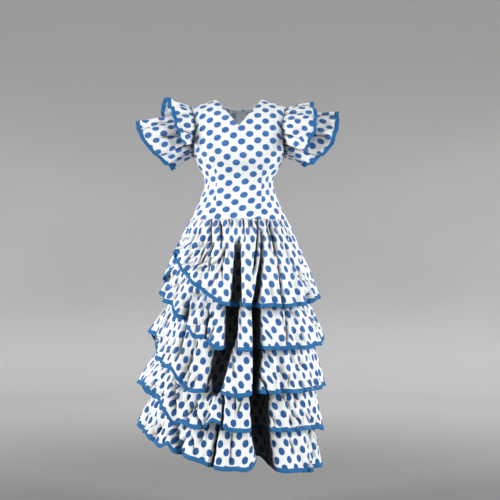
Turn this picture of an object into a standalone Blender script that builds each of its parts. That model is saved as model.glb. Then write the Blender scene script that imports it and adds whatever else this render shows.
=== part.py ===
"""Ruffled cotton dress with a fitted bodice, five bound flounces and double sleeve frills.

Metres, +Z up. The dress faces -Y and the wearer's left arm is at +X. The origin is the middle of
the shoulder line, where the wearer's shoulders carry the dress. Angles round the skirt are
degrees from the centre front, positive towards +X. Every piece is a cloth wall of even thickness
built on a surface that one of the functions below describes.
"""
import math

import bpy
import numpy as np

# ---- cloth and seams ----
CLOTH = 0.0016            # wall of the cotton
BINDING = 0.0024          # wall of the folded blue binding
BINDING_DROP = 0.013      # height of the binding along a free edge
SEAM = 0.0003             # gap between two pieces that are sewn together
BOUND_GAP = 0.0009        # gap between a cloth edge and its binding, along the cloth
LAYER = CLOTH + SEAM      # from the middle of one layer to the middle of the next

# ---- bodice ----
SEAM_Z = -0.387           # dropped waist seam
ARMPIT_Z = -0.178
SHOULDER_Z = -0.013       # outer end of the shoulder seam
SHOULDER_X = 0.157
NECK_Z = 0.0133           # inner end of the shoulder seam
NECK_X = 0.077
V_POINT_Z = -0.084        # point of the V neck
BACK_NECK_Z = -0.014
SHOULDER_ROUND = 0.15     # height over which the chest rounds in to the shoulder seam
SHOULDER_POWER = 1.8
SECTION_POWER = 2.3       # squareness of the body's sections
ARMHOLE_FRONT = 0.066     # how far the armhole edge reaches forwards and backwards
ARMHOLE_BACK = 0.062
OPENING_X = 0.0028        # half the gap between the back panels, filled by the zip

# ---- zip ----
TAPE_HALF = 0.011
TAPE_WALL = 0.0010
CHAIN_HALF = 0.0025
CHAIN_PROUD = 0.0002
SLIDER_Z = -0.040
SLIDER_SIZE = (0.0076, 0.010, 0.0020)     # across, along the chain, floor thickness
CHEEK = 0.0012                            # walls on the slider that hold the pull
CHEEK_RISE = 0.0026
PULL_NECK = 0.0040                        # across the pull where it sits between the cheeks
PULL_WIDE = 0.0066
PULL_LENGTH = 0.023
PULL_WALL = 0.0012
PULL_NECK_LENGTH = 0.0075
PULL_HEEL = 0.0011                        # behind the hinge
PULL_FLARE = 0.0020

# Body sections below the armpit: height, half width, depth in front, depth behind.
BODY = (
    (-0.387, 0.160, 0.125, 0.126),
    (-0.340, 0.137, 0.112, 0.113),
    (-0.300, 0.121, 0.100, 0.097),
    (-0.262, 0.113, 0.094, 0.087),
    (-0.225, 0.127, 0.102, 0.090),
    (-0.195, 0.144, 0.115, 0.096),
    (-0.178, 0.148, 0.118, 0.098),
    (-0.120, 0.148, 0.118, 0.104),
    (0.020, 0.148, 0.118, 0.108),
)
# Armhole edge: height, distance from the middle of the dress.
ARMHOLE = (
    (-0.178, 0.148), (-0.140, 0.145), (-0.113, 0.141), (-0.083, 0.140), (-0.047, 0.146),
    (-0.013, 0.157),
)
BODICE_ROWS = (0.0, 0.16, 0.32, 0.45, 0.58, 0.70, 0.80, 0.90, 0.965, 1.0)
ARMPIT_ROW = 0.58         # the row that passes the armpit
BODICE_COLUMNS = 10       # from the middle to the side seam

# ---- skirt ----
# Foundation under the flounces: height, half sizes to -X, +X, front and back.
SKIRT = (
    (-0.387, 0.160, 0.160, 0.125, 0.126),
    (-0.450, 0.170, 0.172, 0.142, 0.148),
    (-0.600, 0.192, 0.206, 0.178, 0.190),
    (-0.750, 0.222, 0.232, 0.204, 0.214),
    (-0.900, 0.248, 0.238, 0.220, 0.230),
    (-1.080, 0.268, 0.240, 0.230, 0.240),
)
OVERLAP = 0.055           # a flounce starts this far above the edge that hides its seam
WAVES = 22                # ruffle waves on each of the lower four flounces
TOP_WAVES = 28            # gathers on the top flounce
SAMPLES = 4               # columns on a wave
# Spacing of the waves: share of a turn, waves of the change round the skirt, phase.
UNEVEN = ((0.012, 3, 1.1), (0.005, 7, 0.4))
# Each flounce: angle, height of its edge, how far the edge stands off the foundation.
FLOUNCES = (
    ((-180, -0.670, 0.055), (-150, -0.655, 0.060), (-125, -0.620, 0.064), (-110, -0.602, 0.066),
     (-99, -0.588, 0.066), (-92, -0.564, 0.052), (-86, -0.538, 0.040), (-80, -0.510, 0.036),
     (-75, -0.498, 0.038), (-67, -0.516, 0.040), (-58, -0.543, 0.042), (-50, -0.563, 0.044),
     (-41, -0.586, 0.046), (-34, -0.605, 0.048), (-27, -0.622, 0.048), (-20, -0.640, 0.050),
     (-15, -0.656, 0.050), (-8, -0.664, 0.050), (14, -0.667, 0.048), (40, -0.669, 0.048),
     (60, -0.660, 0.048), (80, -0.645, 0.048), (120, -0.665, 0.052), (150, -0.672, 0.054)),
    ((-180, -0.810, 0.055), (-150, -0.785, 0.060), (-125, -0.710, 0.058), (-106, -0.645, 0.060),
     (-92, -0.612, 0.062), (-77, -0.636, 0.060), (-69, -0.653, 0.058), (-60, -0.666, 0.054),
     (-54, -0.680, 0.052), (-48, -0.700, 0.052), (-43, -0.712, 0.052), (-39, -0.735, 0.052),
     (-35, -0.742, 0.052), (-31, -0.762, 0.052), (-25, -0.766, 0.052), (-19, -0.788, 0.052),
     (-15, -0.799, 0.052), (-9, -0.794, 0.052), (0, -0.804, 0.052), (14, -0.800, 0.050),
     (45, -0.802, 0.050), (70, -0.792, 0.048), (95, -0.764, 0.046), (140, -0.800, 0.054)),
    ((-180, -0.945, 0.054), (-145, -0.925, 0.056), (-120, -0.840, 0.060), (-104, -0.785, 0.068),
     (-93, -0.762, 0.076), (-85, -0.772, 0.056), (-78, -0.788, 0.046), (-71, -0.834, 0.048),
     (-62, -0.850, 0.048), (-57, -0.862, 0.046), (-50, -0.865, 0.046), (-46, -0.873, 0.046),
     (-42, -0.897, 0.048), (-37, -0.921, 0.048), (-31, -0.934, 0.048), (-26, -0.935, 0.050),
     (-19, -0.930, 0.050), (-12, -0.935, 0.050), (-3, -0.946, 0.050), (18, -0.936, 0.048),
     (45, -0.938, 0.048), (90, -0.932, 0.042), (135, -0.945, 0.052)),
    ((-180, -1.082, 0.054), (-145, -1.055, 0.062), (-115, -0.985, 0.074), (-98, -0.940, 0.080),
     (-88, -0.929, 0.078), (-70, -0.939, 0.070), (-60, -0.958, 0.062), (-52, -0.982, 0.056),
     (-46, -1.006, 0.054), (-42, -1.038, 0.052), (-38, -1.032, 0.052), (-28, -1.044, 0.050),
     (-22, -1.042, 0.050), (-19, -1.030, 0.050), (-16, -1.022, 0.048), (-11, -1.036, 0.048),
     (-6, -1.049, 0.048), (20, -1.056, 0.048), (60, -1.062, 0.042), (90, -1.084, 0.034),
     (135, -1.082, 0.048)),
    ((-180, -1.195, 0.056), (-145, -1.165, 0.060), (-115, -1.100, 0.064), (-98, -1.064, 0.066),
     (-86, -1.054, 0.066), (-74, -1.073, 0.062), (-67, -1.081, 0.058), (-57, -1.107, 0.056),
     (-50, -1.111, 0.056), (-45, -1.101, 0.056), (-42, -1.122, 0.056), (-33, -1.134, 0.056),
     (-25, -1.150, 0.054), (-20, -1.162, 0.053), (-12, -1.168, 0.052), (2, -1.176, 0.052),
     (7, -1.168, 0.050), (11, -1.141, 0.048), (17, -1.140, 0.048), (23, -1.158, 0.048),
     (28, -1.178, 0.048), (37, -1.187, 0.048), (50, -1.192, 0.044), (67, -1.189, 0.040),
     (90, -1.202, 0.032), (135, -1.200, 0.050)),
)
WAVE_DEPTH = (0.007, 0.009, 0.009, 0.010, 0.010)   # half the depth of a wave at the edge
LIFT_POWER = (0.95, 1.25, 1.25, 1.25, 1.25)        # how a flounce leaves the foundation
# Deep folds through every layer: angle, depth and half width at the heights of FOLD_LEVELS.
FOLD_LEVELS = (-0.387, -0.450, -0.660, -0.800, -0.940, -1.060, -1.210)
DEEP_FOLDS = (
    ((27, 25, 13, 13.5, 15, 16.5, 18), (0, 0.010, 0.034, 0.045, 0.050, 0.055, 0.057),
     (0.016, 0.016, 0.020, 0.025, 0.029, 0.032, 0.034)),
    ((-4, -4, -4, -7, -16, -19, -20), (0, 0.008, 0.028, 0.034, 0.030, 0.014, 0.010),
     (0.016, 0.016, 0.020, 0.022, 0.024, 0.024, 0.024)),
    ((-48, -48, -47, -46, -46, -46, -46), (0, 0.0, 0.012, 0.020, 0.022, 0.022, 0.022),
     (0.020, 0.020, 0.022, 0.024, 0.024, 0.026, 0.026)),
    ((62, 62, 61, 60, 60, 60, 60), (0, 0.004, 0.012, 0.014, 0.016, 0.018, 0.018),
     (0.020, 0.020, 0.022, 0.024, 0.024, 0.026, 0.026)),
    ((128, 128, 127, 126, 126, 126, 126), (0, 0.006, 0.024, 0.030, 0.034, 0.036, 0.036),
     (0.020, 0.020, 0.022, 0.024, 0.026, 0.028, 0.028)),
    ((176, 176, 176, 178, 180, 181, 182), (0, 0.008, 0.030, 0.040, 0.044, 0.046, 0.046),
     (0.018, 0.018, 0.020, 0.024, 0.026, 0.028, 0.028)),
    ((-138, -138, -138, -140, -141, -142, -143), (0, 0.006, 0.026, 0.032, 0.036, 0.038, 0.038),
     (0.020, 0.020, 0.022, 0.024, 0.026, 0.028, 0.028)),
)

# ---- sleeves ----
# Free edge of a frill: angle round the armhole (0 at the shoulder, 90 in front), then how far
# out, forwards and up the edge lies there.
SLEEVE_EDGE = {
    "left": ((0, 0.331, 0.000, -0.042), (45, 0.328, 0.085, -0.073), (90, 0.312, 0.125, -0.125),
             (135, 0.262, 0.095, -0.185), (180, 0.222, 0.000, -0.207), (225, 0.262, -0.095, -0.185),
             (270, 0.305, -0.125, -0.125), (315, 0.328, -0.085, -0.070)),
    "right": ((0, 0.326, -0.030, -0.058), (45, 0.338, 0.050, -0.073), (90, 0.318, 0.115, -0.120),
              (115, 0.285, 0.120, -0.165), (150, 0.245, 0.060, -0.200), (180, 0.226, 0.010, -0.218),
              (225, 0.250, -0.080, -0.190), (270, 0.295, -0.120, -0.130),
              (315, 0.320, -0.090, -0.075)),
}
SHOULDER_EDGE = {
    "left": ((-120, 0.225, -0.138, -0.150), (-80, 0.258, -0.142, -0.080), (-40, 0.262, -0.090, -0.020),
             (0, 0.257, -0.010, 0.007), (40, 0.262, 0.090, -0.033), (80, 0.256, 0.145, -0.088),
             (120, 0.222, 0.142, -0.156)),
    "right": ((-120, 0.215, -0.132, -0.140), (-85, 0.250, -0.140, -0.075), (-50, 0.253, -0.100, -0.015),
              (-20, 0.252, -0.045, 0.020), (30, 0.222, 0.066, -0.018), (60, 0.213, 0.105, -0.060),
              (90, 0.205, 0.122, -0.090), (120, 0.183, 0.118, -0.133)),
}
SLEEVE_WAVES = 10
SHOULDER_WAVES = 8
FRILL_GAP = 0.0016        # gap along a frill to its binding, whose edge runs slantwise there
SHOULDER_REACH = 118.0    # degrees round the armhole on each side of the shoulder
SLEEVE_WAVE_DEPTH = 0.009
SLEEVE_PUFF = 0.012       # how far a frill rises off the straight line from armhole to edge
SHOULDER_PUFF = 0.026
ARMHOLE_STEP = 0.0014     # a frill starts this far out from the armhole edge
FRILL_LAYER = 0.0024      # the shoulder frill's seam lies this far over the sleeve frill's

# ---- colours ----
WHITE_COTTON = (0.86, 0.88, 0.88)
BLUE_BINDING = (0.02, 0.17, 0.42)
ZIP_WHITE = (0.80, 0.82, 0.82)
NICKEL = (0.60, 0.60, 0.58)

SIDES = {"left": 1.0, "right": -1.0}      # the wearer's sides along X
ACROSS = np.array([1.0, 0.0, 0.0])


def smooth(knots, values, at, period=None):
    """A smooth curve through rows of a table, read at the places in `at`."""
    knots = np.asarray(knots, float)
    values = np.asarray(values, float)
    at = np.asarray(at, float)
    if knots[0] > knots[-1]:
        knots, values = knots[::-1], values[::-1]
    if period:
        at = (at - knots[0]) % period + knots[0]
        knots = np.concatenate([knots[-2:] - period, knots, knots[:2] + period])
        values = np.concatenate([values[-2:], values, values[:2]])
    at = np.clip(at, knots[0], knots[-1])
    step = np.diff(knots)
    rise = np.diff(values) / step
    slope = np.concatenate([rise[:1], (rise[:-1] + rise[1:]) / 2, rise[-1:]])
    turns = np.concatenate([[True], rise[:-1] * rise[1:] <= 0, [True]])
    slope = np.where(turns & (np.arange(len(knots)) > 0) & (np.arange(len(knots)) < len(knots) - 1),
                     0.0, slope)
    cell = np.clip(np.searchsorted(knots, at, side="right") - 1, 0, len(step) - 1)
    t = (at - knots[cell]) / step[cell]
    return ((2 * t**3 - 3 * t**2 + 1) * values[cell] + (t**3 - 2 * t**2 + t) * step[cell] * slope[cell]
            + (3 * t**2 - 2 * t**3) * values[cell + 1] + (t**3 - t**2) * step[cell] * slope[cell + 1])


def column(table, index):
    """One named column of a table, as a list."""
    return [row[index] for row in table]


def material(name, colour, roughness, metallic=0.0):
    """A plain Principled material."""
    made = bpy.data.materials.new(name)
    made.use_nodes = True
    shader = made.node_tree.nodes["Principled BSDF"]
    shader.inputs["Base Color"].default_value = (*colour, 1.0)
    shader.inputs["Roughness"].default_value = roughness
    shader.inputs["Metallic"].default_value = metallic
    return made


def add_mesh(name, points, faces, finish, smooth_shade=True):
    """One object from points and faces."""
    mesh = bpy.data.meshes.new(name)
    mesh.from_pydata([tuple(map(float, p)) for p in points], [], faces)
    mesh.validate()
    if smooth_shade:
        mesh.shade_smooth()
    mesh.materials.append(finish)
    made = bpy.data.objects.new(name, mesh)
    bpy.context.scene.collection.objects.link(made)
    return made


def unit(vectors):
    """Vectors of length one."""
    return vectors / np.linalg.norm(vectors, axis=-1, keepdims=True)


def wall(name, middle, normals, thickness, finish, closed):
    """A wall of even thickness on a grid of points: rows run up, columns run across."""
    rows, columns = middle.shape[:2]
    outer = middle + normals * thickness / 2
    inner = middle - normals * thickness / 2
    points = np.concatenate([outer.reshape(-1, 3), inner.reshape(-1, 3)])
    back = rows * columns

    def at(row, col):
        return row * columns + col % columns

    faces = []
    spans = columns if closed else columns - 1
    for row in range(rows - 1):
        for col in range(spans):
            a, b, c, d = at(row, col), at(row, col + 1), at(row + 1, col + 1), at(row + 1, col)
            faces.extend(((a, b, c), (a, c, d)))
            faces.extend(((back + c, back + b, back + a), (back + d, back + c, back + a)))
    for col in range(spans):
        low, low_next = at(0, col), at(0, col + 1)
        faces.append((low_next, low, back + low, back + low_next))
        top, top_next = at(rows - 1, col), at(rows - 1, col + 1)
        faces.append((top, top_next, back + top_next, back + top))
    if not closed:
        for row in range(rows - 1):
            first, above = at(row, 0), at(row + 1, 0)
            faces.append((first, above, back + above, back + first))
            last, over = at(row, columns - 1), at(row + 1, columns - 1)
            faces.append((over, last, back + last, back + over))
    return add_mesh(name, points, faces, finish)


def flatten(normals, axis, rows, columns):
    """Turn the normals along a seam into the seam's own plane, so that both edges are parallel."""
    normals[rows, columns, axis] = 0.0
    normals[rows, columns] = unit(normals[rows, columns])


# ---------------------------------------------------------------- bodice

def armhole_forward(z, reach):
    """How far the armhole edge lies in front of or behind the side seam at a height."""
    middle = (SHOULDER_Z + ARMPIT_Z) / 2
    rise = np.clip((z - middle) / (SHOULDER_Z - middle), -1.0, 1.0)
    return reach * np.sqrt(np.maximum(1.0 - rise**2, 0.0))


def shoulder_line(x):
    """Height of the shoulder seam above a point."""
    slope = (SHOULDER_Z - NECK_Z) / (SHOULDER_X - NECK_X)
    return np.where(x < NECK_X, NECK_Z, NECK_Z + slope * (x - NECK_X))


def bodice_surface(front, start_x=0.0):
    """surface(across, up) for half a panel: 0..1 from the middle to the side, 0..1 upwards."""
    depth_column = 2 if front else 3
    neck_low = V_POINT_Z if front else BACK_NECK_Z
    neck_power = 1.0 if front else 2.0
    reach = ARMHOLE_FRONT if front else ARMHOLE_BACK
    turn = -1.0 if front else 1.0

    def surface(across, up):
        side = np.abs(across)
        climb = np.clip((up - ARMPIT_ROW) / (1.0 - ARMPIT_ROW), 0.0, None)
        low = SEAM_Z + (ARMPIT_Z - SEAM_Z) * np.minimum(up, ARMPIT_ROW) / ARMPIT_ROW
        z_middle = low + (neck_low - ARMPIT_Z) * climb
        z_side = low + (SHOULDER_Z - ARMPIT_Z) * climb
        on_neck = np.minimum(side / 0.5, 1.0)
        on_shoulder = np.maximum(side / 0.5 - 1.0, 0.0)
        edge_x = NECK_X * on_neck + (SHOULDER_X - NECK_X) * on_shoulder
        edge_z = neck_low + (NECK_Z - neck_low) * on_neck**neck_power + (SHOULDER_Z - NECK_Z) * on_shoulder
        straight = neck_low + (SHOULDER_Z - neck_low) * side
        z = z_middle + (z_side - z_middle) * side + climb**2 * (edge_z - straight)
        blend = np.clip(climb, 0.0, 1.0)
        share = (1 - blend) * np.sin(np.clip(side, 0, 1) * math.pi / 2) + blend * edge_x / SHOULDER_X
        half = np.where(up <= ARMPIT_ROW, smooth(column(BODY, 0), column(BODY, 1), z_side),
                        smooth(column(ARMHOLE, 0), column(ARMHOLE, 1), z_side))
        x = start_x + (half - start_x) * share
        below = np.clip((shoulder_line(x) - z) / SHOULDER_ROUND, 0.0, 1.0)
        rounding = (1.0 - (1.0 - below)**SHOULDER_POWER)**(1.0 / SHOULDER_POWER)
        depth = smooth(column(BODY, 0), column(BODY, depth_column), z) * rounding
        edge_y = np.where(up <= ARMPIT_ROW, 0.0, armhole_forward(z_side, reach)) + SEAM / 2
        power = 1 / SECTION_POWER + (1 - 1 / SECTION_POWER) * blend
        bulge = np.maximum(1.0 - share**SECTION_POWER, 0.0)**power
        y = edge_y + np.maximum(depth - edge_y, 0.0) * bulge
        return np.stack([np.copysign(x, across), turn * y, z], axis=-1)

    return surface


def bodice_wall(name, front, across, finish, start_x=0.0):
    """A bodice panel over the columns in `across`, which are signed towards +X."""
    surface = bodice_surface(front, start_x)
    up = np.array(BODICE_ROWS)
    if not front:
        across = across[::-1]
    grid_across, grid_up = np.meshgrid(across, up)
    middle = surface(grid_across, grid_up)
    normals = grid_normals(middle)
    armpit = BODICE_ROWS.index(ARMPIT_ROW)
    for edge in (0, len(across) - 1):
        if abs(across[edge]) > 0.99:
            flatten(normals, 1, slice(0, armpit + 1), edge)
        if start_x and abs(across[edge]) < 0.01:
            flatten(normals, 0, slice(None), edge)
    on_shoulder = np.abs(across) > 0.49
    flatten(normals, 1, len(up) - 1, on_shoulder)
    flatten(normals, 2, 0, slice(None))
    return wall(name, middle, normals, CLOTH, finish, closed=False)


def grid_normals(middle):
    """Outward normals of an open grid, from its own points."""
    along = np.gradient(middle, axis=1)
    rising = np.gradient(middle, axis=0)
    return unit(np.cross(along, rising))


def build_bodice(finish):
    """Front panel and the two back panels, which leave room for the zip."""
    half = np.linspace(0.0, 1.0, BODICE_COLUMNS + 1)
    both = np.concatenate([-half[:0:-1], half])
    bodice_wall("bodice_front", True, both, finish)
    bodice_wall("bodice_back_left", False, half, finish, OPENING_X)
    bodice_wall("bodice_back_right", False, (-half)[::-1], finish, OPENING_X)


# ---------------------------------------------------------------- zip

def back_line():
    """Points down the middle of the back with the outward direction at each."""
    surface = bodice_surface(False, OPENING_X)
    up = np.array(BODICE_ROWS)
    points = surface(np.zeros_like(up), up)
    points[:, 0] = 0.0
    rising = unit(np.gradient(points, axis=0))
    outward = np.cross(rising, (1.0, 0.0, 0.0))
    outward *= np.sign(outward[:, 1:2])
    return points, outward


def build_zip(tape_finish, metal_finish):
    """Tape and closed chain down the back, the slider at its top and the hinged pull."""
    points, outward = back_line()
    under = CLOTH / 2 + SEAM
    proud = CLOTH / 2 + CHAIN_PROUD
    section = ((-TAPE_HALF, -under - TAPE_WALL), (TAPE_HALF, -under - TAPE_WALL), (TAPE_HALF, -under),
               (CHAIN_HALF, -under), (CHAIN_HALF, proud), (-CHAIN_HALF, proud), (-CHAIN_HALF, -under),
               (-TAPE_HALF, -under))
    points[0, 2] += SEAM
    ring = len(section)
    rings = [[point + ACROSS * side + lift * out for side, lift in section]
             for point, out in zip(points, outward)]
    prism("zip_chain", rings, tape_finish)

    heights = points[:, 2]
    cell = int(np.searchsorted(heights, SLIDER_Z)) - 1
    share = (SLIDER_Z - heights[cell]) / (heights[cell + 1] - heights[cell])
    seat = points[cell] * (1 - share) + points[cell + 1] * share
    rising = unit(points[cell + 1] - points[cell])
    out = np.cross(rising, (1.0, 0.0, 0.0))
    out *= np.sign(out[1])
    floor = CLOTH / 2 + CHAIN_PROUD + SEAM
    width, length, thick = SLIDER_SIZE
    half, low, high = width / 2, floor, floor + thick
    channel = ((-half, low), (half, low), (half, high + CHEEK_RISE), (half - CHEEK, high + CHEEK_RISE),
               (half - CHEEK, high), (CHEEK - half, high), (CHEEK - half, high + CHEEK_RISE),
               (-half, high + CHEEK_RISE))
    rings = [[seat + ACROSS * side + out * lift + rising * place for side, lift in channel]
             for place in (-length / 2, length / 2)]
    prism("zip_slider", rings, metal_finish)

    pivot = seat + out * (high + SEAM + CHEEK_RISE / 2)
    build_pull(pivot, rising, out, metal_finish)


def prism(name, rings, finish):
    """A closed solid through rings of points, which run anticlockwise seen from the first ring."""
    count = len(rings[0])
    faces = [tuple(range(count - 1, -1, -1)),
             tuple(range(count * (len(rings) - 1), count * len(rings)))]
    for row in range(len(rings) - 1):
        for corner in range(count):
            a = row * count + corner
            b = row * count + (corner + 1) % count
            faces.append((a, b, b + count, a + count))
    return add_mesh(name, [point for ring in rings for point in ring], faces, finish, smooth_shade=False)


def build_pull(pivot, rising, out, finish):
    """The pull tab: a neck between the slider's cheeks and a wider tab with a rounded end."""
    neck, wide, thick = PULL_NECK / 2, PULL_WIDE / 2, PULL_WALL / 2
    end = PULL_LENGTH - wide
    outline = [(-neck, -PULL_HEEL), (neck, -PULL_HEEL), (neck, PULL_NECK_LENGTH),
               (wide, PULL_NECK_LENGTH + PULL_FLARE)]
    outline += [(wide * math.cos(turn), end + wide * math.sin(turn))
                for turn in np.linspace(0.0, math.pi, 9)]
    outline += [(-wide, PULL_NECK_LENGTH + PULL_FLARE), (-neck, PULL_NECK_LENGTH)]
    rings = [[ACROSS * side - rising * down + out * lift for side, down in outline]
             for lift in (-thick, thick)]
    tab = prism("zip_pull", rings, finish)
    tab.location = tuple(map(float, pivot))


# ---------------------------------------------------------------- skirt

def turn_of(share):
    """Angle round the skirt, in degrees, of a share of the waves; the waves are uneven."""
    turn = share.copy()
    for size, waves, phase in UNEVEN:
        turn = turn + size * np.sin(2 * math.pi * waves * share + phase)
    return turn * 360.0


def foundation_radius(angle, z):
    """Distance of the foundation from the middle of the dress."""
    heights = column(SKIRT, 0)
    right, left, front, back = (smooth(heights, column(SKIRT, k), z) for k in (1, 2, 3, 4))
    sine, cosine = np.sin(np.radians(angle)), np.cos(np.radians(angle))
    width = np.where(sine > 0, left, right)
    depth = np.where(cosine > 0, front, back)
    return ((np.abs(sine) / width)**SECTION_POWER
            + (np.abs(cosine) / depth)**SECTION_POWER)**(-1 / SECTION_POWER)


def fold_depth(angle, z, radius):
    """How far the deep folds pull the cloth in."""
    depth = np.zeros_like(z)
    for angles, depths, widths in DEEP_FOLDS:
        centre = smooth(FOLD_LEVELS, angles, z)
        away = (angle - centre + 180) % 360 - 180
        distance = np.radians(away) * radius / smooth(FOLD_LEVELS, widths, z)
        depth = depth + smooth(FOLD_LEVELS, depths, z) * np.exp(-distance**2)
    return depth


def around(angle, radius, z):
    """Points at an angle, a radius and a height."""
    turn = np.radians(angle)
    return np.stack([radius * np.sin(turn), -radius * np.cos(turn), z], axis=-1)


def foundation(angle, z):
    """Points on the middle of the foundation's wall."""
    radius = foundation_radius(angle, z)
    return around(angle, radius - fold_depth(angle, z, radius), z)


def level_normal(angle, z):
    """Outward normal of the foundation, kept level."""
    along = foundation(angle + 0.2, z) - foundation(angle - 0.2, z)
    along[..., 2] = 0.0
    return unit(np.cross(along, np.array([0.0, 0.0, 1.0])))


def edge_height(index, angle):
    """Height of a flounce's free edge."""
    table = FLOUNCES[index]
    return smooth(column(table, 0), column(table, 1), angle, period=360)


def edge_slant(index, angle):
    """Length of a flounce's free edge for each unit of way round the skirt; 1 where it is level."""
    edge = edge_height(index, angle)
    rise = edge_height(index, angle + 1) - edge_height(index, angle - 1)
    return np.hypot(1.0, rise / (np.radians(2) * foundation_radius(angle, edge)))


def top_height(index, angle):
    """Height of the seam that a flounce hangs from."""
    if index == 0:
        return np.full_like(angle, SEAM_Z - SEAM)
    return edge_height(index - 1, angle) + OVERLAP


def flounce_surface(index):
    """surface(share, drop) of a flounce: share of its waves, 0..1 from its seam to its edge."""
    waves = TOP_WAVES if index == 0 else WAVES
    stand = column(FLOUNCES[index], 2)
    angles = column(FLOUNCES[index], 0)

    def surface(share, drop):
        angle = turn_of(share)
        top = top_height(index, angle)
        z = top + (edge_height(index, angle) - top) * drop
        lift = smooth(angles, stand, angle, period=360) * np.abs(drop)**LIFT_POWER[index]
        wave = WAVE_DEPTH[index] * np.minimum(np.abs(drop) * 1.2, 1.0) * np.sin(2 * math.pi * waves * share)
        points = foundation(angle, z) + around(angle, lift + wave, np.zeros_like(z))
        if index:
            points = points + level_normal(angle, z) * LAYER * np.clip(1 - drop, 0, 1)[..., None]
        return points

    return surface


def build_flounce(index, cloth_finish, binding_finish):
    """A flounce and the binding on its edge."""
    waves = TOP_WAVES if index == 0 else WAVES
    surface = flounce_surface(index)
    share = np.arange(waves * SAMPLES) / (waves * SAMPLES)
    length = np.linalg.norm(surface(share, np.ones_like(share)) - surface(share, np.zeros_like(share)),
                            axis=-1)
    bound = 1 - BINDING_DROP / length
    gap = BOUND_GAP * edge_slant(index, turn_of(share))
    rows = (0.0, 0.18, 0.55, 1.0) if index == 0 else (0.0, 0.5, 1.0)
    drops = np.array([row * (bound - gap / length) for row in rows])[::-1]
    number = index + 1
    build_ring(f"flounce_{number}", surface, share, drops, CLOTH, cloth_finish, level_top=True)
    build_ring(f"flounce_binding_{number}", surface, share, np.array([np.ones_like(bound), bound]),
               BINDING, binding_finish, level_top=False)


def build_ring(name, surface, share, drops, thickness, finish, level_top):
    """A closed ring of cloth on a surface; the rows in `drops` run from its edge to its seam."""
    grid = np.broadcast_to(share, drops.shape)
    middle = surface(grid, drops)
    nudge = 0.002
    along = surface(grid + nudge * 0.5, drops) - surface(grid - nudge * 0.5, drops)
    rising = surface(grid, drops - 0.01) - surface(grid, drops + 0.01)
    normals = unit(np.cross(along, rising))
    if level_top:
        flatten(normals, 2, len(drops) - 1, slice(None))
    return wall(name, middle, normals, thickness, finish, closed=True)


def build_foundation(finish):
    """The plain skirt under the flounces, in a front and a back panel."""
    count = WAVES * SAMPLES
    share = np.arange(count) / count
    angle = (turn_of(share) + 180) % 360 - 180
    levels = [np.full(count, SEAM_Z - SEAM)] + [top_height(index, angle) for index in range(1, 5)]
    heights = np.array(levels[::-1])
    middle = foundation(np.broadcast_to(angle, heights.shape), heights)
    normals = level_normal(np.broadcast_to(angle, heights.shape), heights)
    middle[-1] -= normals[-1] * LAYER
    order = np.argsort(angle)
    angle, middle, normals = angle[order], middle[:, order], normals[:, order]
    front = np.abs(angle) <= 90
    for name, chosen in (("skirt_front", np.flatnonzero(front)), ("skirt_back", None)):
        if chosen is None:
            first, last = np.flatnonzero(front)[[0, -1]]
            chosen = np.concatenate([np.arange(last, count), np.arange(0, first + 1)])
            points, sides = middle[:, chosen].copy(), normals[:, chosen].copy()
            for edge, inner in ((0, 1), (-1, -2)):
                step = points[:, inner] - points[:, edge]
                points[:, edge] += step / np.linalg.norm(step, axis=-1, keepdims=True) * 2 * SEAM
                sides[:, edge] = normals[:, chosen[edge]]
        else:
            points, sides = middle[:, chosen], normals[:, chosen]
        wall(name, points, sides, CLOTH, finish, closed=False)


# ---------------------------------------------------------------- sleeves

def armhole_point(angle, side):
    """A point on the armhole edge; 0 degrees at the shoulder, 90 in front."""
    turn = np.radians(angle)
    middle, half = (SHOULDER_Z + ARMPIT_Z) / 2, (SHOULDER_Z - ARMPIT_Z) / 2
    z = middle + half * np.cos(turn)
    reach = np.where(np.sin(turn) > 0, ARMHOLE_FRONT, ARMHOLE_BACK)
    x = smooth(column(ARMHOLE, 0), column(ARMHOLE, 1), z)
    return np.stack([side * x, -reach * np.sin(turn), z], axis=-1)


def frill_surface(side, table, start, end, waves, puff, raised, period):
    """surface(share, drop) of a sleeve frill between two angles round the armhole."""
    angles = column(table, 0)
    def surface(share, drop):
        angle = start + (end - start) * share
        turn = np.radians(angle)
        outward = np.stack([np.zeros_like(turn), -np.sin(turn), np.cos(turn)], axis=-1)
        root = armhole_point(angle, side) + outward * raised
        root[..., 0] += side * ARMHOLE_STEP
        out, forward, up = (smooth(angles, column(table, k), angle, period=period) for k in (1, 2, 3))
        edge = np.stack([side * out, -forward, up], axis=-1)
        lift = (outward + 0.3 * side * ACROSS) * puff
        drop = drop[..., None]
        points = (1 - drop)**2 * root + 2 * drop * (1 - drop) * ((root + edge) / 2 + lift) + drop**2 * edge
        axis = unit(edge - root)
        push = unit(outward - axis * np.sum(outward * axis, axis=-1, keepdims=True))
        wave = SLEEVE_WAVE_DEPTH * np.sin(2 * math.pi * waves * share + 0.6)
        return points + push * (wave[..., None] * np.abs(drop))

    return surface


def build_frill(name, side, surface, waves, closed, cloth_finish, binding_finish, rows):
    """A frill and its binding."""
    count = waves * SAMPLES
    share = np.arange(count) / count if closed else np.linspace(0.0, 1.0, count + 1)
    length = np.linalg.norm(surface(share, np.ones_like(share)) - surface(share, np.zeros_like(share)),
                            axis=-1)
    bound = 1 - BINDING_DROP / length
    drops = np.array([row * (bound - FRILL_GAP / length) for row in rows])
    for piece, levels, thickness, finish in (
            (name, drops, CLOTH, cloth_finish),
            (f"{name}_binding", np.array([bound, np.ones_like(bound)]), BINDING, binding_finish)):
        grid = np.broadcast_to(share, levels.shape)
        middle = surface(grid, levels)
        along = surface(grid + 0.002, levels) - surface(grid - 0.002, levels)
        rising = surface(grid, levels + 0.01) - surface(grid, levels - 0.01)
        normals = unit(np.cross(along, rising)) * side
        if side < 0:
            middle, normals = middle[::-1], normals[::-1]
        wall(piece, middle, normals, thickness, finish, closed)


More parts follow.
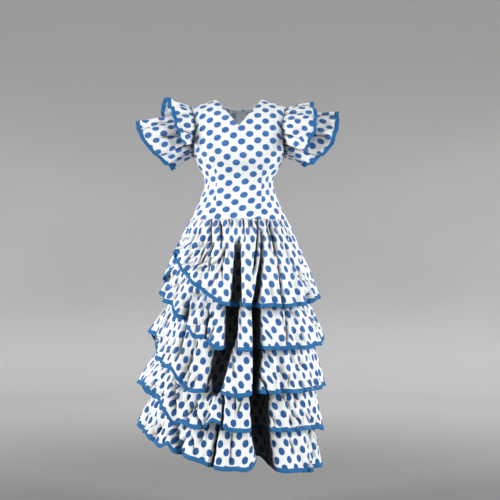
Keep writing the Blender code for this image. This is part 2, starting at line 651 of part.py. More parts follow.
def build_sleeves(cloth_finish, binding_finish):
    """On each arm a sleeve frill all round the armhole and a shorter one over the shoulder."""
    for word, side in SIDES.items():
        under = frill_surface(side, SLEEVE_EDGE[word], 0.0, 360.0, SLEEVE_WAVES, SLEEVE_PUFF, 0.0, 360)
        build_frill(f"sleeve_{word}", side, under, SLEEVE_WAVES, True, cloth_finish, binding_finish,
                    (0.0, 0.3, 0.65, 1.0))
        over = frill_surface(side, SHOULDER_EDGE[word], -SHOULDER_REACH, SHOULDER_REACH, SHOULDER_WAVES,
                             SHOULDER_PUFF, FRILL_LAYER, None)
        build_frill(f"shoulder_frill_{word}", side, over, SHOULDER_WAVES, False, cloth_finish,
                    binding_finish, (0.0, 0.5, 1.0))


def main():
    """Clear the scene and build every piece."""
    for old in list(bpy.data.objects):
        bpy.data.objects.remove(old, do_unlink=True)
    cotton = material("white_cotton", WHITE_COTTON, 0.85)
    blue = material("blue_binding", BLUE_BINDING, 0.75)
    tape = material("zip_tape", ZIP_WHITE, 0.8)
    nickel = material("nickel", NICKEL, 0.3, metallic=1.0)
    build_bodice(cotton)
    build_zip(tape, nickel)
    build_foundation(cotton)
    for index in range(len(FLOUNCES)):
        build_flounce(index, cotton, blue)
    build_sleeves(cotton, blue)


main()
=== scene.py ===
"""Looks of a ruffled cotton dress with blue dots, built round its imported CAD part.

Metres, +Z up, in the part's own frame: the dress faces -Y, the wearer's left arm is at +X, and the
origin is the middle of the shoulder line. Angles round the skirt are degrees from the centre
front, positive towards +X. Each cloth piece is a thin shell on the form of its solid, with finer
folds, and carries a UV map named "cut": its place in the flat cloth, in metres. The printed dots
are worked out from that map. Sizes are in metres, but for the tables read through metres().
"""
import math

import bmesh
import bpy
import numpy as np
from mathutils import Matrix, Vector, noise


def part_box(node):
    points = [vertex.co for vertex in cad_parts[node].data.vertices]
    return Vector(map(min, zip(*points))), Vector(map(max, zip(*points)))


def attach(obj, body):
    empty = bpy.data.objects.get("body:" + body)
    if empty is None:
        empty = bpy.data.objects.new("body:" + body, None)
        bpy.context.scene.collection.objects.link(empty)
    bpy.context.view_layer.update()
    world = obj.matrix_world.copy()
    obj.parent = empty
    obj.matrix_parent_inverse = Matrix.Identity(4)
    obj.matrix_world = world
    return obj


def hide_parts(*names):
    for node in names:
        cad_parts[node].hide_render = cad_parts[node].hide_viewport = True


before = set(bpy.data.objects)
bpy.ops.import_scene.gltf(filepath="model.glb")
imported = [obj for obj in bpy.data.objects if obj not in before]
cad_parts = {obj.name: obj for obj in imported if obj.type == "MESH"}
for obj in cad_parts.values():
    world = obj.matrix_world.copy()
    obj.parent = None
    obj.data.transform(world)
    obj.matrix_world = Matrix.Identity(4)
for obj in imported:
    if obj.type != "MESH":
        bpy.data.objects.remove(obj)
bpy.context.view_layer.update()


def metres(rows, start=0):
    """Rows of a table whose columns from `start` on are written in millimetres."""
    return [row[:start] + tuple(round(size / 1000, 7) for size in row[start:]) for row in rows]


# ---------------------------------------------------------------- sizes

CLOTH = 0.0010            # thickness of the cotton
LAYER = 0.0019            # from the middle of one layer to the middle of the next
OVERLAP = 0.055           # a flounce starts this far above the edge that hides its seam
HEM_GAP = 0.002           # the cloth of a flounce or frill ends this far over its binding's edge

SEAM_Z = -0.387           # dropped waist seam
WAIST_Z = -0.262
ARMPIT_Z = -0.178
SHOULDER_Z = -0.013       # outer end of the shoulder seam
SHOULDER_X = 0.157
NECK_Z = 0.0133           # inner end of the shoulder seam
NECK_X = 0.077
V_POINT_Z = -0.084        # point of the V neck
BACK_NECK_Z = -0.014
SHOULDER_ROUND = 0.15     # height over which the chest rounds in to the shoulder seam
SHOULDER_POWER = 1.8
SECTION_POWER = 2.3       # squareness of the body's sections
ARMHOLE_FRONT = 0.066     # how far the armhole edge reaches forwards and backwards
ARMHOLE_BACK = 0.062
ARMPIT_ROW = 0.58         # place of the armpit in a panel's rise from seam to shoulder
OPENING_X = 0.0028        # half the gap between the back panels, filled by the zip
SEAM_HALF = 0.00015
SLIDER_Z = -0.040         # height of the zip's slider
SLIDER_FLOOR = 0.0018     # middle of the slider's floor over the cloth's middle
PULL_HINGE = 0.01095      # from the middle of the pull up to its hinge
PULL_FACE = 0.0006        # from the middle of the pull to its face
SLIDER_END = 0.0054       # from the middle of the slider to its nose and its heel
SLIDER_ROOM = 0.0045      # half the stretch without teeth that the slider covers
ZIP_LOW = -0.384          # height of the lowest tooth
TEETH_APART = 0.0011      # from the middle of the zip to its teeth above the slider, and below it
TEETH_MESHED = 0.0004
TOOTH_LIFT = 0.0009       # from the cloth's middle out to the teeth
ZIP_PITCH = 0.0024        # from tooth to tooth on one side of the zip
ZIP_TOOTH = (0.0026, 0.0012, 0.0010)      # across, out of the cloth, along the zip

# Bodice panels: name, side, columns of half a panel, rows.
PANELS = (("front", 0, 66, 118), ("back_left", 1, 62, 100), ("back_right", -1, 62, 100))
# Body sections below the armpit: height, half width, depth in front, depth behind.
BODY = metres((
    (-387, 160, 125, 126), (-340, 137, 112, 113), (-300, 121, 100, 97), (-262, 113, 94, 87),
    (-225, 127, 102, 90), (-195, 144, 115, 96), (-178, 148, 118, 98), (-120, 148, 118, 104),
    (20, 148, 118, 108),
))
# Armhole edge: height, distance from the middle of the dress.
ARMHOLE = metres((
    (-178, 148), (-140, 145), (-113, 141), (-83, 140), (-47, 146), (-13, 157),
))
# Darts in the bodice: height, distance of the inner and the outer dart from the middle, and the
# cloth that each takes up there.
DARTS = metres((
    (-387, 71, 116, 0, 0), (-372, 71, 113, 3, 0), (-330, 73, 105, 14, 8), (-262, 74, 97, 22, 14),
    (-225, 76, 100, 12, 5), (-212, 77, 102, 7, 0), (-192, 78, 104, 0, 0), (20, 78, 108, 0, 0),
))
DART_GROOVE = 0.0012      # depth of the groove along a dart's seam, and how wide it spreads
DART_HALF = 0.0016

# How far the print's columns lie to +X of straight lines: height, distance.
PRINT_DRIFT = metres((
    (-390, -6), (-372, -5), (-330, -1), (-290, 3), (-245, 6), (-210, 4), (-180, -1), (-140, -6),
    (20, -6),
))
PRINT_START = (0.0155, 0.0404)            # place of a dot on the bodice, across and up
PRINT_SHIFT = (0.011, 0.017)              # of the dots from each flounce to the next, down and across

# Foundation under the flounces: height, half sizes to -X, +X, front and back.
SKIRT = metres((
    (-387, 160, 160, 125, 126), (-450, 170, 172, 142, 148), (-600, 192, 206, 178, 190),
    (-750, 222, 232, 204, 214), (-900, 248, 238, 220, 230), (-1080, 268, 240, 230, 240),
))
FOUNDATION_SLACK = 0.022  # how far the foundation falls in under the top flounce
WAVES = 22                # ruffle waves on each of the lower four flounces
TOP_WAVES = 28            # gathers on the top flounce
# Spacing of the waves: share of a turn, waves of the change round the skirt, phase.
UNEVEN = ((0.012, 3, 1.1), (0.005, 7, 0.4))
# Each flounce: angle, height of its edge, how far the edge stands off the foundation.
FLOUNCES = [metres(rows, 1) for rows in (
    ((-180, -670, 55), (-150, -655, 60), (-125, -620, 64), (-110, -602, 66), (-100, -590, 66),
     (-94, -580, 58), (-89, -566, 48), (-82, -510, 36), (-76, -497, 38), (-67, -516, 40),
     (-58, -543, 42), (-50, -563, 44), (-41, -586, 46), (-34, -605, 48), (-27, -622, 48),
     (-20, -640, 50), (-15, -656, 50), (-8, -664, 50), (14, -667, 48), (40, -669, 48), (60, -660, 48),
     (80, -645, 48), (120, -665, 52), (150, -672, 54)),
    ((-180, -810, 55), (-150, -785, 60), (-125, -710, 58), (-106, -645, 60), (-92, -612, 62),
     (-77, -636, 60), (-69, -653, 58), (-60, -666, 54), (-54, -680, 52), (-48, -700, 52),
     (-43, -712, 52), (-39, -735, 52), (-35, -742, 52), (-31, -762, 52), (-25, -766, 52),
     (-19, -788, 52), (-15, -799, 52), (-9, -794, 52), (0, -804, 52), (14, -800, 50), (45, -802, 50),
     (70, -792, 48), (95, -764, 46), (140, -800, 54)),
    ((-180, -945, 54), (-145, -925, 56), (-120, -840, 60), (-104, -785, 68), (-93, -762, 76),
     (-85, -772, 56), (-78, -788, 46), (-71, -834, 48), (-62, -850, 48), (-57, -862, 46),
     (-50, -865, 46), (-46, -873, 46), (-42, -897, 48), (-37, -921, 48), (-31, -934, 48),
     (-26, -935, 50), (-19, -930, 50), (-12, -935, 50), (-3, -946, 50), (18, -936, 48), (45, -938, 48),
     (90, -932, 42), (135, -945, 52)),
    ((-180, -1082, 54), (-145, -1055, 62), (-115, -985, 74), (-98, -940, 80), (-88, -929, 78),
     (-70, -939, 70), (-60, -958, 62), (-52, -982, 56), (-46, -1006, 54), (-42, -1038, 52),
     (-38, -1032, 52), (-28, -1044, 50), (-22, -1042, 50), (-19, -1030, 50), (-16, -1022, 48),
     (-11, -1036, 48), (-6, -1049, 48), (20, -1056, 48), (60, -1062, 42), (90, -1084, 34),
     (135, -1082, 48)),
    ((-180, -1195, 56), (-145, -1165, 60), (-115, -1100, 64), (-98, -1064, 66), (-86, -1054, 66),
     (-74, -1073, 62), (-67, -1081, 58), (-57, -1107, 56), (-50, -1111, 56), (-45, -1101, 56),
     (-42, -1122, 56), (-33, -1134, 56), (-25, -1150, 54), (-20, -1162, 53), (-12, -1168, 52),
     (2, -1176, 52), (7, -1168, 50), (11, -1141, 48), (17, -1140, 48), (23, -1158, 48), (28, -1178, 48),
     (37, -1187, 48), (50, -1192, 44), (67, -1189, 40), (90, -1202, 32), (135, -1200, 50)),
)]
WAVE_DEPTH = (0.0035, 0.005, 0.005, 0.006, 0.006)   # half the depth of a wave at the edge
FLOUNCE_LOBE = 0.62       # how broad the crests of its waves are: 1 for even waves
LIFT_POWER = (0.95, 1.25, 1.25, 1.25, 1.25)        # how a flounce leaves the foundation
DROP_LENGTH = 1.04        # cloth of a flounce for each metre of height
FLOUNCE_RUMPLE = 0.0052   # depth of the crumples on a flounce and on a frill
FRILL_RUMPLE = 0.0034
TOP_STEP = 0.0045         # how far the top flounce steps out under its seam
FLOUNCE_CLEAR = 0.0022    # least distance of a flounce from the cloth under it
SOFT_STOP = 0.0012        # height over which it comes to rest there

# Folds of each flounce that show in front. Columns: angle at the seam, angle at the edge, first
# and last drop, depth at the first and at the last, half width at the first and at the last.
CREASES = [metres(rows, 4) for rows in (
    ((-39, -14, 0, 0.5, 19, 9, 3.7, 5), (-26.5, -1.5, 0.02, 0.4, 25, 17, 4.5, 5.7),
     (-14, 22, 0, 0.16, 16, 9, 3.7, 3.7), (7, 9, 0, 0.3, 9, 4, 3.7, 4.4),
     (19, 19, 0, 0.22, 12, 6, 3.2, 3.7), (27.5, 5, 0, 0.72, 20, 14, 3.7, 5),
     (39.5, 22, 0, 0.45, 13, 6, 3.5, 3.7), (42.5, 34, 0.02, 0.52, 26, 22, 4.7, 5.2),
     (42.5, 33.5, 0.45, 1.2, 12, 10, 3.7, 4), (73, 41, 0.05, 0.38, 10, 6, 4, 4.5),
     (114, 57, 0.7, 1.2, 26, 38, 6.3, 8.1), (58, 46, 0.1, 1.2, 4, 5, 8, 12),
     (-37, -49, 0.18, 1.2, 7, 10, 12, 18), (-22, -26, 0.3, 1.2, 3, 6, 7, 12),
     (-62, -70, 0.15, 1.2, 6, 12, 8, 12), (-22, -38, 0.28, 0.6, 13, 8, 4, 4.6),
     (-10, -26, 0.36, 0.7, 12, 8, 3.8, 4.4), (-38, -20, 0.26, 0.48, 11, 8, 4.2, 4.2),
     (-26, -8, 0.5, 0.84, 10, 8, 3.8, 4.2), (-6, -16, 0.32, 0.58, 9, 7, 3.6, 3.8),
     (-48, -60, 0.32, 0.62, 9, 7, 4.2, 4.8), (52, 80, 0.46, 0.66, 13, 9, 4.5, 5),
     (80, 54, 0.54, 0.72, 10, 9, 4.2, 4.2), (62, 70, 0.02, 0.4, 11, 6, 3.8, 4.4),
     (84, 78, 0.05, 0.5, 10, 6, 4, 4.6)),
    ((-35, -38, 0.3, 0.7, 6, 10, 9, 9), (-26, -24, 0.5, 1.2, 14, 17, 5, 5),
     (-46, -42, 0.62, 1.2, 16, 30, 7, 9), (-62, -60, 0.3, 1.2, 6, 10, 8, 12),
     (40, 33, 0.2, 0.75, 10, 6, 3.7, 3.7), (47, 33, 0.25, 1, 19, 14, 4.2, 4.7),
     (100, 62, 0.4, 1, 12, 9, 4.4, 4.4), (4, 3, 0.2, 0.8, 7, 6, 4, 5), (58, 52, 0.3, 1.2, 3, 6, 10, 14),
     (88, 82, 0.6, 1.2, 14, 24, 6, 7)),
    ((-48, -45, 0.3, 0.85, 17, 20, 5.6, 5.6), (-34, -34, 0.3, 0.58, 16, 12, 5, 5),
     (-20, -20, 0.3, 0.62, 13, 9, 4.4, 4.4), (-27, -29, 0.4, 1.2, 4, 6, 9, 12),
     (12, 20, 0.66, 1.2, 12, 14, 4.4, 5), (-2, -3, 0.25, 0.8, 9, 6, 3.7, 5),
     (34, 31, 0.3, 1.2, 3, 5, 6, 12), (52, 50, 0.3, 1.2, 4, 6, 9, 14),
     (60, 104, 0.3, 0.6, 12, 9, 4.4, 4.4), (-62, -64, 0.3, 1.2, 6, 10, 8, 10)),
    ((-56, -40, 0.3, 0.9, 14, 20, 5, 5.6), (-21, -37, 0.55, 1.05, 13, 12, 5, 5),
     (-37, -25, 0.45, 0.82, 13, 10, 4.4, 4.4), (-11, -11, 0.25, 1.2, 20, 20, 5.2, 5.7),
     (-3, -2, 0.25, 0.75, 10, 7, 4, 4.5), (30, 22, 0.25, 0.7, 14, 9, 4.7, 4.2),
     (48, 40, 0.25, 0.66, 16, 9, 4.5, 4.5), (22, 63, 0.66, 0.96, 14, 14, 5, 5.7),
     (53, 56, 0.8, 1.2, 14, 23, 6.3, 7.5), (38, 36, 0.3, 1.2, 3, 5, 7, 11),
     (76, 70, 0.3, 1.2, 6, 8, 6, 8), (28, 58, 0.7, 0.92, 13, 10, 4.4, 5),
     (52, 34, 0.74, 0.9, 12, 10, 4.2, 4.6), (6, -4, 0.4, 0.8, 10, 8, 4, 4.4),
     (-28, -44, 0.4, 0.72, 10, 8, 4.4, 5)),
    ((-54, -37, 0.45, 1.2, 23, 32, 6.3, 7.5), (-14, -17, 0.25, 1.2, 26, 29, 6.3, 5.7),
     (-26, -27, 0.3, 1.2, 4, 6, 7, 10), (-4, -6, 0.3, 1, 9, 7, 4, 6.3),
     (27, 25, 0.3, 1.2, 9, 12, 4, 4.5), (71, 49, 0.3, 1.2, 14, 17, 4.5, 5.2),
     (37, 36, 0.3, 1.2, 3, 5, 7, 11), (-68, -66, 0.3, 1.2, 6, 10, 8, 12)),
)]
# Flat-bottomed folds that every flounce has, in the same columns.
RECESSES = [metres(rows, 4) for rows in (
    ((-0.5, -2, 0.2, 1.5, 16, 92, 12.5, 29), (32.5, 12.8, 0.08, 1.5, 18, 62, 5.4, 18.5),
     (-85, -85, 0.4, 1.5, 10, 34, 7, 9)),
    ((-6, -6, 0, 1.5, 70, 70, 27, 22), (17.6, 13.8, 0, 1.5, 75, 85, 17.5, 16)),
    ((-10.5, -18.5, 0, 1.5, 60, 62, 34, 29), (18.5, 12, 0, 1.5, 85, 85, 20, 8)),
    ((17.5, 16, 0, 1.5, 85, 85, 38, 32), (-15, -22, 0, 0.52, 62, 40, 30, 16)),
    ((16, 19.5, 0, 1.5, 75, 70, 36, 36),),
)]
# Folds of the foundation that leave room for them: angle, depth, half width at FOLD_LEVELS.
FOLD_LEVELS = (-0.387, -0.450, -0.660, -0.800, -0.940, -1.060, -1.210)
FOUNDATION_FOLDS = (
    ((27, 25, 14, 14, 15, 17, 18), (0, 0.020, 0.085, 0.095, 0.098, 0.092, 0.085),
     (0.030, 0.030, 0.034, 0.036, 0.042, 0.050, 0.050)),
    ((-2, -2, -4, -7, -15, -17, -17), (0, 0.020, 0.075, 0.080, 0.068, 0.040, 0.020),
     (0.030, 0.030, 0.034, 0.038, 0.042, 0.036, 0.024)),
)
# Folds drawn for the sides and the back: least and greatest depth and half width, sharp and soft.
SHARP_FOLD = ((0.009, 0.016), (0.0030, 0.0046))
SOFT_FOLD = ((0.004, 0.009), (0.008, 0.015))
# Fields of short creases on each flounce: from one angle to another, how many, and the least and
# greatest change of angle down the whole flounce.
RUMPLE_FIELDS = (
    ((-84, -12, 44, -85, 15), (46, 92, 20, -25, 80), (100, 268, 40, -50, 50)),
    ((-86, -16, 40, -60, 15), (44, 92, 20, -20, 60), (100, 268, 34, -40, 40)),
    ((-86, -26, 34, -50, 15), (20, 92, 20, -20, 50), (100, 268, 34, -40, 40)),
    ((-80, -16, 36, -60, 30), (20, 88, 28, -50, 60), (100, 268, 34, -40, 40)),
    ((-86, -24, 30, -35, 15), (22, 88, 18, -20, 40), (100, 268, 32, -30, 30)),
)
# Fine gathers of the top flounce and of the others: how many, least and greatest reach, and depth.
GATHERS = ((120, (0.08, 0.26), (0.0030, 0.0100)), (64, (0.30, 0.58), (0.0020, 0.0055)))
GATHERS_END = (0.30, 0.55)                # drop at which the streaks of their gathers end
RECESS_POWER = 4.0        # squareness of the section of a wide fold and of a crease
CREASE_POWER = 1.7
FADE_IN = 0.10            # drop over which a fold starts, and over which it ends
FADE_OUT = 0.22
GIVE_HALF = 0.0062        # creases narrower than this take up spare cloth, fully at this depth
GIVE_DEPTH = 0.007
CLOTH_GIVE = 0.025        # how little smooth cloth gives when it is laid flat, beside a crease
FLATTEN_ROUNDS = 300      # most rounds of laying cloth flat, and the error at which they end
FLATTEN_END = 1e-12
LIP = 0.30                # how far a recess's lips close over it, as a share of its half width

# Free edge of a frill: angle round the armhole (0 at the shoulder, 90 in front), then how far
# out, forwards and up the edge lies there, and how far the cloth rises off a straight line to it.
SLEEVE_EDGE = {
    "left": metres((
        (0, 331, 0, -38, -16), (45, 328, 85, -73, 0), (90, 310, 125, -135, 12),
        (112, 290, 112, -168, 12), (135, 258, 90, -191, 6), (180, 222, 0, -207, -8),
        (225, 262, -95, -185, 0), (270, 305, -125, -125, 12), (315, 328, -85, -70, 0),
    ), 1),
    "right": metres((
        (0, 326, -30, -58, -20), (45, 338, 50, -76, 2), (90, 318, 115, -124, 12),
        (115, 285, 120, -168, 12), (150, 247, 60, -200, -2), (180, 228, 10, -216, -10),
        (225, 250, -80, -190, 0), (270, 295, -120, -130, 12), (315, 320, -90, -75, 0),
    ), 1),
}
SHOULDER_EDGE = {
    "left": metres((
        (-120, 225, -138, -150, 20), (-80, 258, -142, -80, 20), (-40, 258, -85, -30, 8),
        (0, 251, -10, -2, 2), (20, 249, 30, -12, 6), (40, 257, 70, -37, 14), (60, 256, 110, -66, 22),
        (80, 247, 135, -106, 26), (100, 233, 140, -142, 26), (120, 220, 135, -163, 22),
    ), 1),
    "right": metres((
        (-120, 215, -132, -140, 20), (-85, 262, -135, -75, 20), (-50, 267, -95, -30, 10),
        (-20, 254, -40, 22, 0), (10, 240, 10, 6, 4), (30, 227, 40, -22, 12), (60, 213, 85, -62, 22),
        (90, 203, 115, -95, 26), (120, 180, 118, -140, 24),
    ), 1),
}
SLEEVE_WAVES = 10
SHOULDER_WAVES = 8
SHOULDER_REACH = 118.0    # degrees round the armhole on each side of the shoulder
SLEEVE_WAVE_DEPTH = 0.008
FRILL_LOBE = 0.7
SEAM_FOLD = 0.0016        # greatest depth of a frill's folds at its seam
FRILL_GATHERS_END = 0.6   # drop at which the streaks of its gathers end
ARMHOLE_STEP = 0.0014     # a frill starts this far out from the armhole edge
FRILL_LAYER = 0.0024      # the shoulder frill's seam lies this far over the sleeve frill's
# Folds of the frills, in the columns of CREASES with angles round the armhole.
FRILL_CREASES = {
    "sleeve_left": metres((
        (38, 30, 0.1, 0.8, 8, 6, 6, 8), (98, 80, 0.3, 0.95, 9, 9, 5, 6),
        (124, 132, 0, 1.2, 16, 12, 5, 7), (150, 158, 0, 1.2, 18, 20, 6, 8),
    ), 4),
    "sleeve_right": metres((
        (20, 25, 0.1, 0.8, 6, 4, 6, 8), (62, 48, 0.2, 0.75, 9, 6, 5, 6),
        (100, 92, 0.1, 0.7, 8, 6, 5, 7), (122, 128, 0, 0.6, 18, 10, 7, 6),
        (148, 158, 0, 1.2, 16, 14, 6, 8),
    ), 4),
    "shoulder_frill_left": metres((
        (6, 14, 0, 0.9, 10, 7, 5, 6), (24, 20, 0, 0.6, 10, 5, 4, 5), (50, 42, 0, 0.5, 9, 4, 4, 5),
        (66, 60, 0.1, 0.6, 8, 4, 4, 5), (98, 92, 0, 0.45, 10, 5, 4, 5),
    ), 4),
    "shoulder_frill_right": metres((
        (-6, 2, 0, 0.95, 12, 8, 5, 7), (14, 18, 0, 0.6, 10, 5, 4, 5), (52, 46, 0, 0.5, 9, 4, 4, 5),
        (100, 88, 0, 0.8, 12, 8, 5, 6),
    ), 4),
}

# Section of a folded binding: how far off the cloth, and how far up from the edge.
BINDING_SECTION = metres((
    (0.95, 14.3), (1.45, 13.4), (1.35, 10.4), (1.4, 6.6), (1.5, 3), (1.05, 0.6), (0, 0), (-1.05, 0.6),
    (-1.5, 3), (-1.35, 10.4), (-1.45, 13.4), (-0.95, 14.3),
))
NECK_STITCH = 0.0045      # how far in from the neck edge its stitches lie
ZIP_STITCH = 0.0040       # how far from a back panel's edge the zip is stitched
BINDING_STITCH = 0.0124   # how far up from a binding's edge it is stitched
STITCH_PITCH = 0.0033
STITCH_LENGTH = 0.0025
STITCH_WIDTH = 0.00060

# Printed dots: ovals on a staggered lattice.
DOT_PERIOD = (0.0527, 0.0445)
DOT_HALF = (0.0122, 0.0102)
# Painted shade: the cloth's colour is mixed towards a near black where it lies deep in a fold.
PAINTED_SHADE_STRENGTH = 0.94          # how much the painted shade darkens the cloth's colour at the bottom of a deep fold
# colour of the painted shade at the bottom of a fold
PAINTED_SHADE_COLOUR = (0.004, 0.005, 0.006)
PAINTED_SHADE_HALF = 0.0072        # a crease holds painted shade if its half width is under this
PAINTED_SHADE_DEPTH = 0.005        # and its depth is over this
PAINTED_SHADE_FULL_SHARP = 0.010   # depth at which the painted shade in a crease is full, and in a wide fold
PAINTED_SHADE_FULL_WIDE = 0.045
PAINTED_SHADE_NARROWEST = 0.0021
PAINTED_SHADE_WIDTH = 0.72         # width of the painted shade in a sharp crease, as a share of the crease's own
BINDING_PAINTED_SHADE = (0.25, 0.80, 0.85, 0.95, 0.95)   # painted shade of each flounce's binding in its folds
SEAM_PAINTED_SHADE = 0.85          # painted shade along the seam of a sleeve frill, and how far it reaches
SEAM_PAINTED_SHADE_REACH = 0.005
UNDERARM_TURN = 125.0     # where that painted shade is deepest, in degrees round the armhole
DOT_SLANT = math.tan(math.radians(5.5))   # the print's rows climb to +X on the bodice
LOW_BLUE_Z = (-0.50, -1.05)               # heights between which the blue of the print deepens
COTTON_THREAD = 0.00045   # width of a thread, and of a rib of the zip's tape
BINDING_THREAD = 0.00050
TAPE_RIB = 0.0006

COLUMNS = (1120, 850, 850, 850, 850)      # of each flounce's mesh
ROWS = (38, 26, 26, 26, 26)
FLOUNCE_SAMPLES = 6001    # places at which a flounce or a frill is measured before it is divided
FRILL_SAMPLES = 2401
ACROSS = np.array([1.0, 0.0, 0.0])
SIDES = {"left": 1.0, "right": -1.0}


# ---------------------------------------------------------------- tables and noise

def smooth(knots, values, at, period=None):
    """A smooth curve through rows of a table, read at the places in `at`."""
    knots, values, at = (np.asarray(given, float) for given in (knots, values, at))
    if knots[0] > knots[-1]:
        knots, values = knots[::-1], values[::-1]
    if period:
        at = (at - knots[0]) % period + knots[0]
        knots = np.concatenate([knots[-2:] - period, knots, knots[:2] + period])
        values = np.concatenate([values[-2:], values, values[:2]])
    at = np.clip(at, knots[0], knots[-1])
    step = np.diff(knots)
    rise = np.diff(values) / step
    slope = np.concatenate([rise[:1], (rise[:-1] + rise[1:]) / 2, rise[-1:]])
    slope[1:-1][rise[:-1] * rise[1:] <= 0] = 0.0
    cell = np.clip(np.searchsorted(knots, at, side="right") - 1, 0, len(step) - 1)
    t = (at - knots[cell]) / step[cell]
    start = (2 * t**3 - 3 * t**2 + 1) * values[cell] + (t**3 - 2 * t**2 + t) * step[cell] * slope[cell]
    return (start + (3 * t**2 - 2 * t**3) * values[cell + 1]
            + (t**3 - t**2) * step[cell] * slope[cell + 1])


def read(table, index, at, period=None):
    """A column of a table, read at the places `at` in its first column."""
    return smooth([row[0] for row in table], [row[index] for row in table], at, period)


def unit(vectors):
    """Vectors of length one."""
    return vectors / np.maximum(np.linalg.norm(vectors, axis=-1, keepdims=True), 1e-12)


def ease(value):
    """0 to 1, with a smooth start and end."""
    value = np.clip(value, 0.0, 1.0)
    return value * value * (3 - 2 * value)


def half_turn(angle):
    """An angle brought between -180 and 180 degrees."""
    return (angle + 180) % 360 - 180


def run_along(line):
    """How far along a line of points each of them lies."""
    return np.concatenate([[0.0], np.cumsum(np.linalg.norm(np.diff(line, axis=0), axis=1))])


def lobed(phase, power):
    """A wave from -1 to 1 with broad crests and narrow troughs."""
    return 2 * (0.5 + 0.5 * np.sin(phase))**power - 1


def grain(*place):
    """Perlin noise, about -1 to 1, at places given as arrays of x, y and z."""
    places = np.stack(np.broadcast_arrays(*place), axis=-1)
    flat = [noise.noise(Vector(point)) for point in places.reshape(-1, 3).tolist()]
    return np.array(flat).reshape(places.shape[:-1])


def crumple(x, y, z):
    """Cloth crumples, up to 1: soft hollows with sharper ridges between them, in two sizes."""
    sharp, finer, shift = 2.2, 2.1, 7.3
    first = 1 - np.abs(grain(x, y, z)) * sharp
    second = 1 - np.abs(grain(x * finer + shift, y * finer, z * finer)) * sharp
    return np.clip(0.68 * first + 0.32 * second, -0.5, 1.0)


def folds(rows, angle, drop, radius, power):
    """Depth of a table of folds at places given by angle and drop."""
    depth = np.zeros(np.broadcast(angle, drop).shape)
    for seam, edge, first, last, deep, deep_end, half, half_end in rows:
        along = np.clip((drop - first) / (last - first), 0.0, 1.0)
        away = np.radians(half_turn(angle - seam - (edge - seam) * drop)) * radius
        distance = np.abs(away) / (half + (half_end - half) * along)
        fade = ease((drop - first) / FADE_IN + (first <= 0)) * ease((last - drop) / FADE_OUT)
        depth = depth + (deep + (deep_end - deep) * along) * fade * np.exp(-distance**power)
    return depth


def flatten(points, total, crease, closed):
    """Place across the flat cloth at each point of a grid, found as an elastic cloth would: true
    to the lengths between columns, and straight down its grain. Creases give way first, so what is
    left of the cut, `total` in all, lies in them."""
    steps = np.linalg.norm(np.roll(points, -1, axis=1) - points, axis=-1)
    drops = np.linalg.norm(np.diff(points, axis=0), axis=-1)
    if not closed:
        steps[:, -1] = 0.0
    across = CLOTH_GIVE / (CLOTH_GIVE + np.clip(crease, 0.0, 1.0)**1.5)
    beside = np.minimum(across, np.roll(across, 1, axis=1))
    down = np.minimum(beside[1:], beside[:-1]) * (np.mean(steps) / np.mean(drops))**2
    if not closed:
        across[:, -1] = 0.0

    def pull(place):
        """What the springs between the points add up to at each point."""
        side = across * (np.roll(place, -1, axis=1) - place)
        force = np.roll(side, 1, axis=1) - side
        fall = down * (place[1:] - place[:-1])
        force[1:] += fall
        force[:-1] -= fall
        return force

    rest = across * (steps - (np.arange(steps.shape[1]) == steps.shape[1] - 1) * total * closed)
    even = np.concatenate([np.zeros((len(steps), 1)), np.cumsum(steps, axis=1)[:, :-1]], axis=1)
    place = even * (total / steps.sum(axis=1, keepdims=True) if closed else 1.0)
    stiff = across + np.roll(across, 1, axis=1)
    stiff[1:] += down
    stiff[:-1] += down
    error = np.roll(rest, 1, axis=1) - rest - pull(place)
    ready = error / stiff
    way = ready.copy()
    size = np.sum(error * ready)
    for _ in range(FLATTEN_ROUNDS):
        push = pull(way)
        reach = size / np.sum(way * push)
        place += reach * way
        error -= reach * push
        ready = error / stiff
        fresh = np.sum(error * ready)
        way = ready + fresh / size * way
        size = fresh
        if size < FLATTEN_END:
            break
    place -= place[:, :1].mean()
    return np.concatenate([place, place[:, :1] + total], axis=1) if closed else place


def painted_fold_shade(rows, wide_rows, angle, drop, radius):
    """How deep in a fold each place lies, 0 to 1, which sets the painted shade that darkens the cloth's
    colour there.
    """
    sharp = [row[:6] + tuple(max(PAINTED_SHADE_NARROWEST, half * PAINTED_SHADE_WIDTH) for half in row[6:])
             for row in rows if row[6] < PAINTED_SHADE_HALF and row[4] > PAINTED_SHADE_DEPTH]
    wide = np.clip(folds(wide_rows, angle, drop, radius, RECESS_POWER) / PAINTED_SHADE_FULL_WIDE, 0.0, 1.0)
    narrow = np.clip(folds(sharp, angle, drop, radius, 2.0) / PAINTED_SHADE_FULL_SHARP, 0.0, 1.0)
    return 1 - (1 - ease((wide - 0.08) / 0.55)) * (1 - 0.97 * narrow**1.2)


def crease_weight(rows, wide_rows, angle, drop, radius):
    """How far into a sharp crease, or a wall of a wide one, each place lies, 0 to 1."""
    sharp = [row[:4] + tuple(min(1.0, deep / GIVE_DEPTH) for deep in row[4:6]) + row[6:]
             for row in rows if row[6] < GIVE_HALF]
    wide = [row[:4] + (1.0, 1.0) + row[6:] for row in wide_rows]
    inside = np.clip(folds(wide, angle, drop, radius, RECESS_POWER), 0.0, 1.0)
    return np.clip(folds(sharp, angle, drop, radius, 2.0) + 4 * inside * (1 - inside), 0.0, 1.0)


# ---------------------------------------------------------------- meshes

def add_object(name, data):
    """A new object in the scene."""
    made = bpy.data.objects.new(name, data)
    bpy.context.scene.collection.objects.link(made)
    return made


def add_mesh(name, points, faces, finishes):
    """A smooth mesh in the scene."""
    mesh = bpy.data.meshes.new(name)
    mesh.from_pydata(points, [], faces)
    mesh.shade_smooth()
    for finish in finishes:
        mesh.materials.append(finish)
    return add_object(name, mesh)


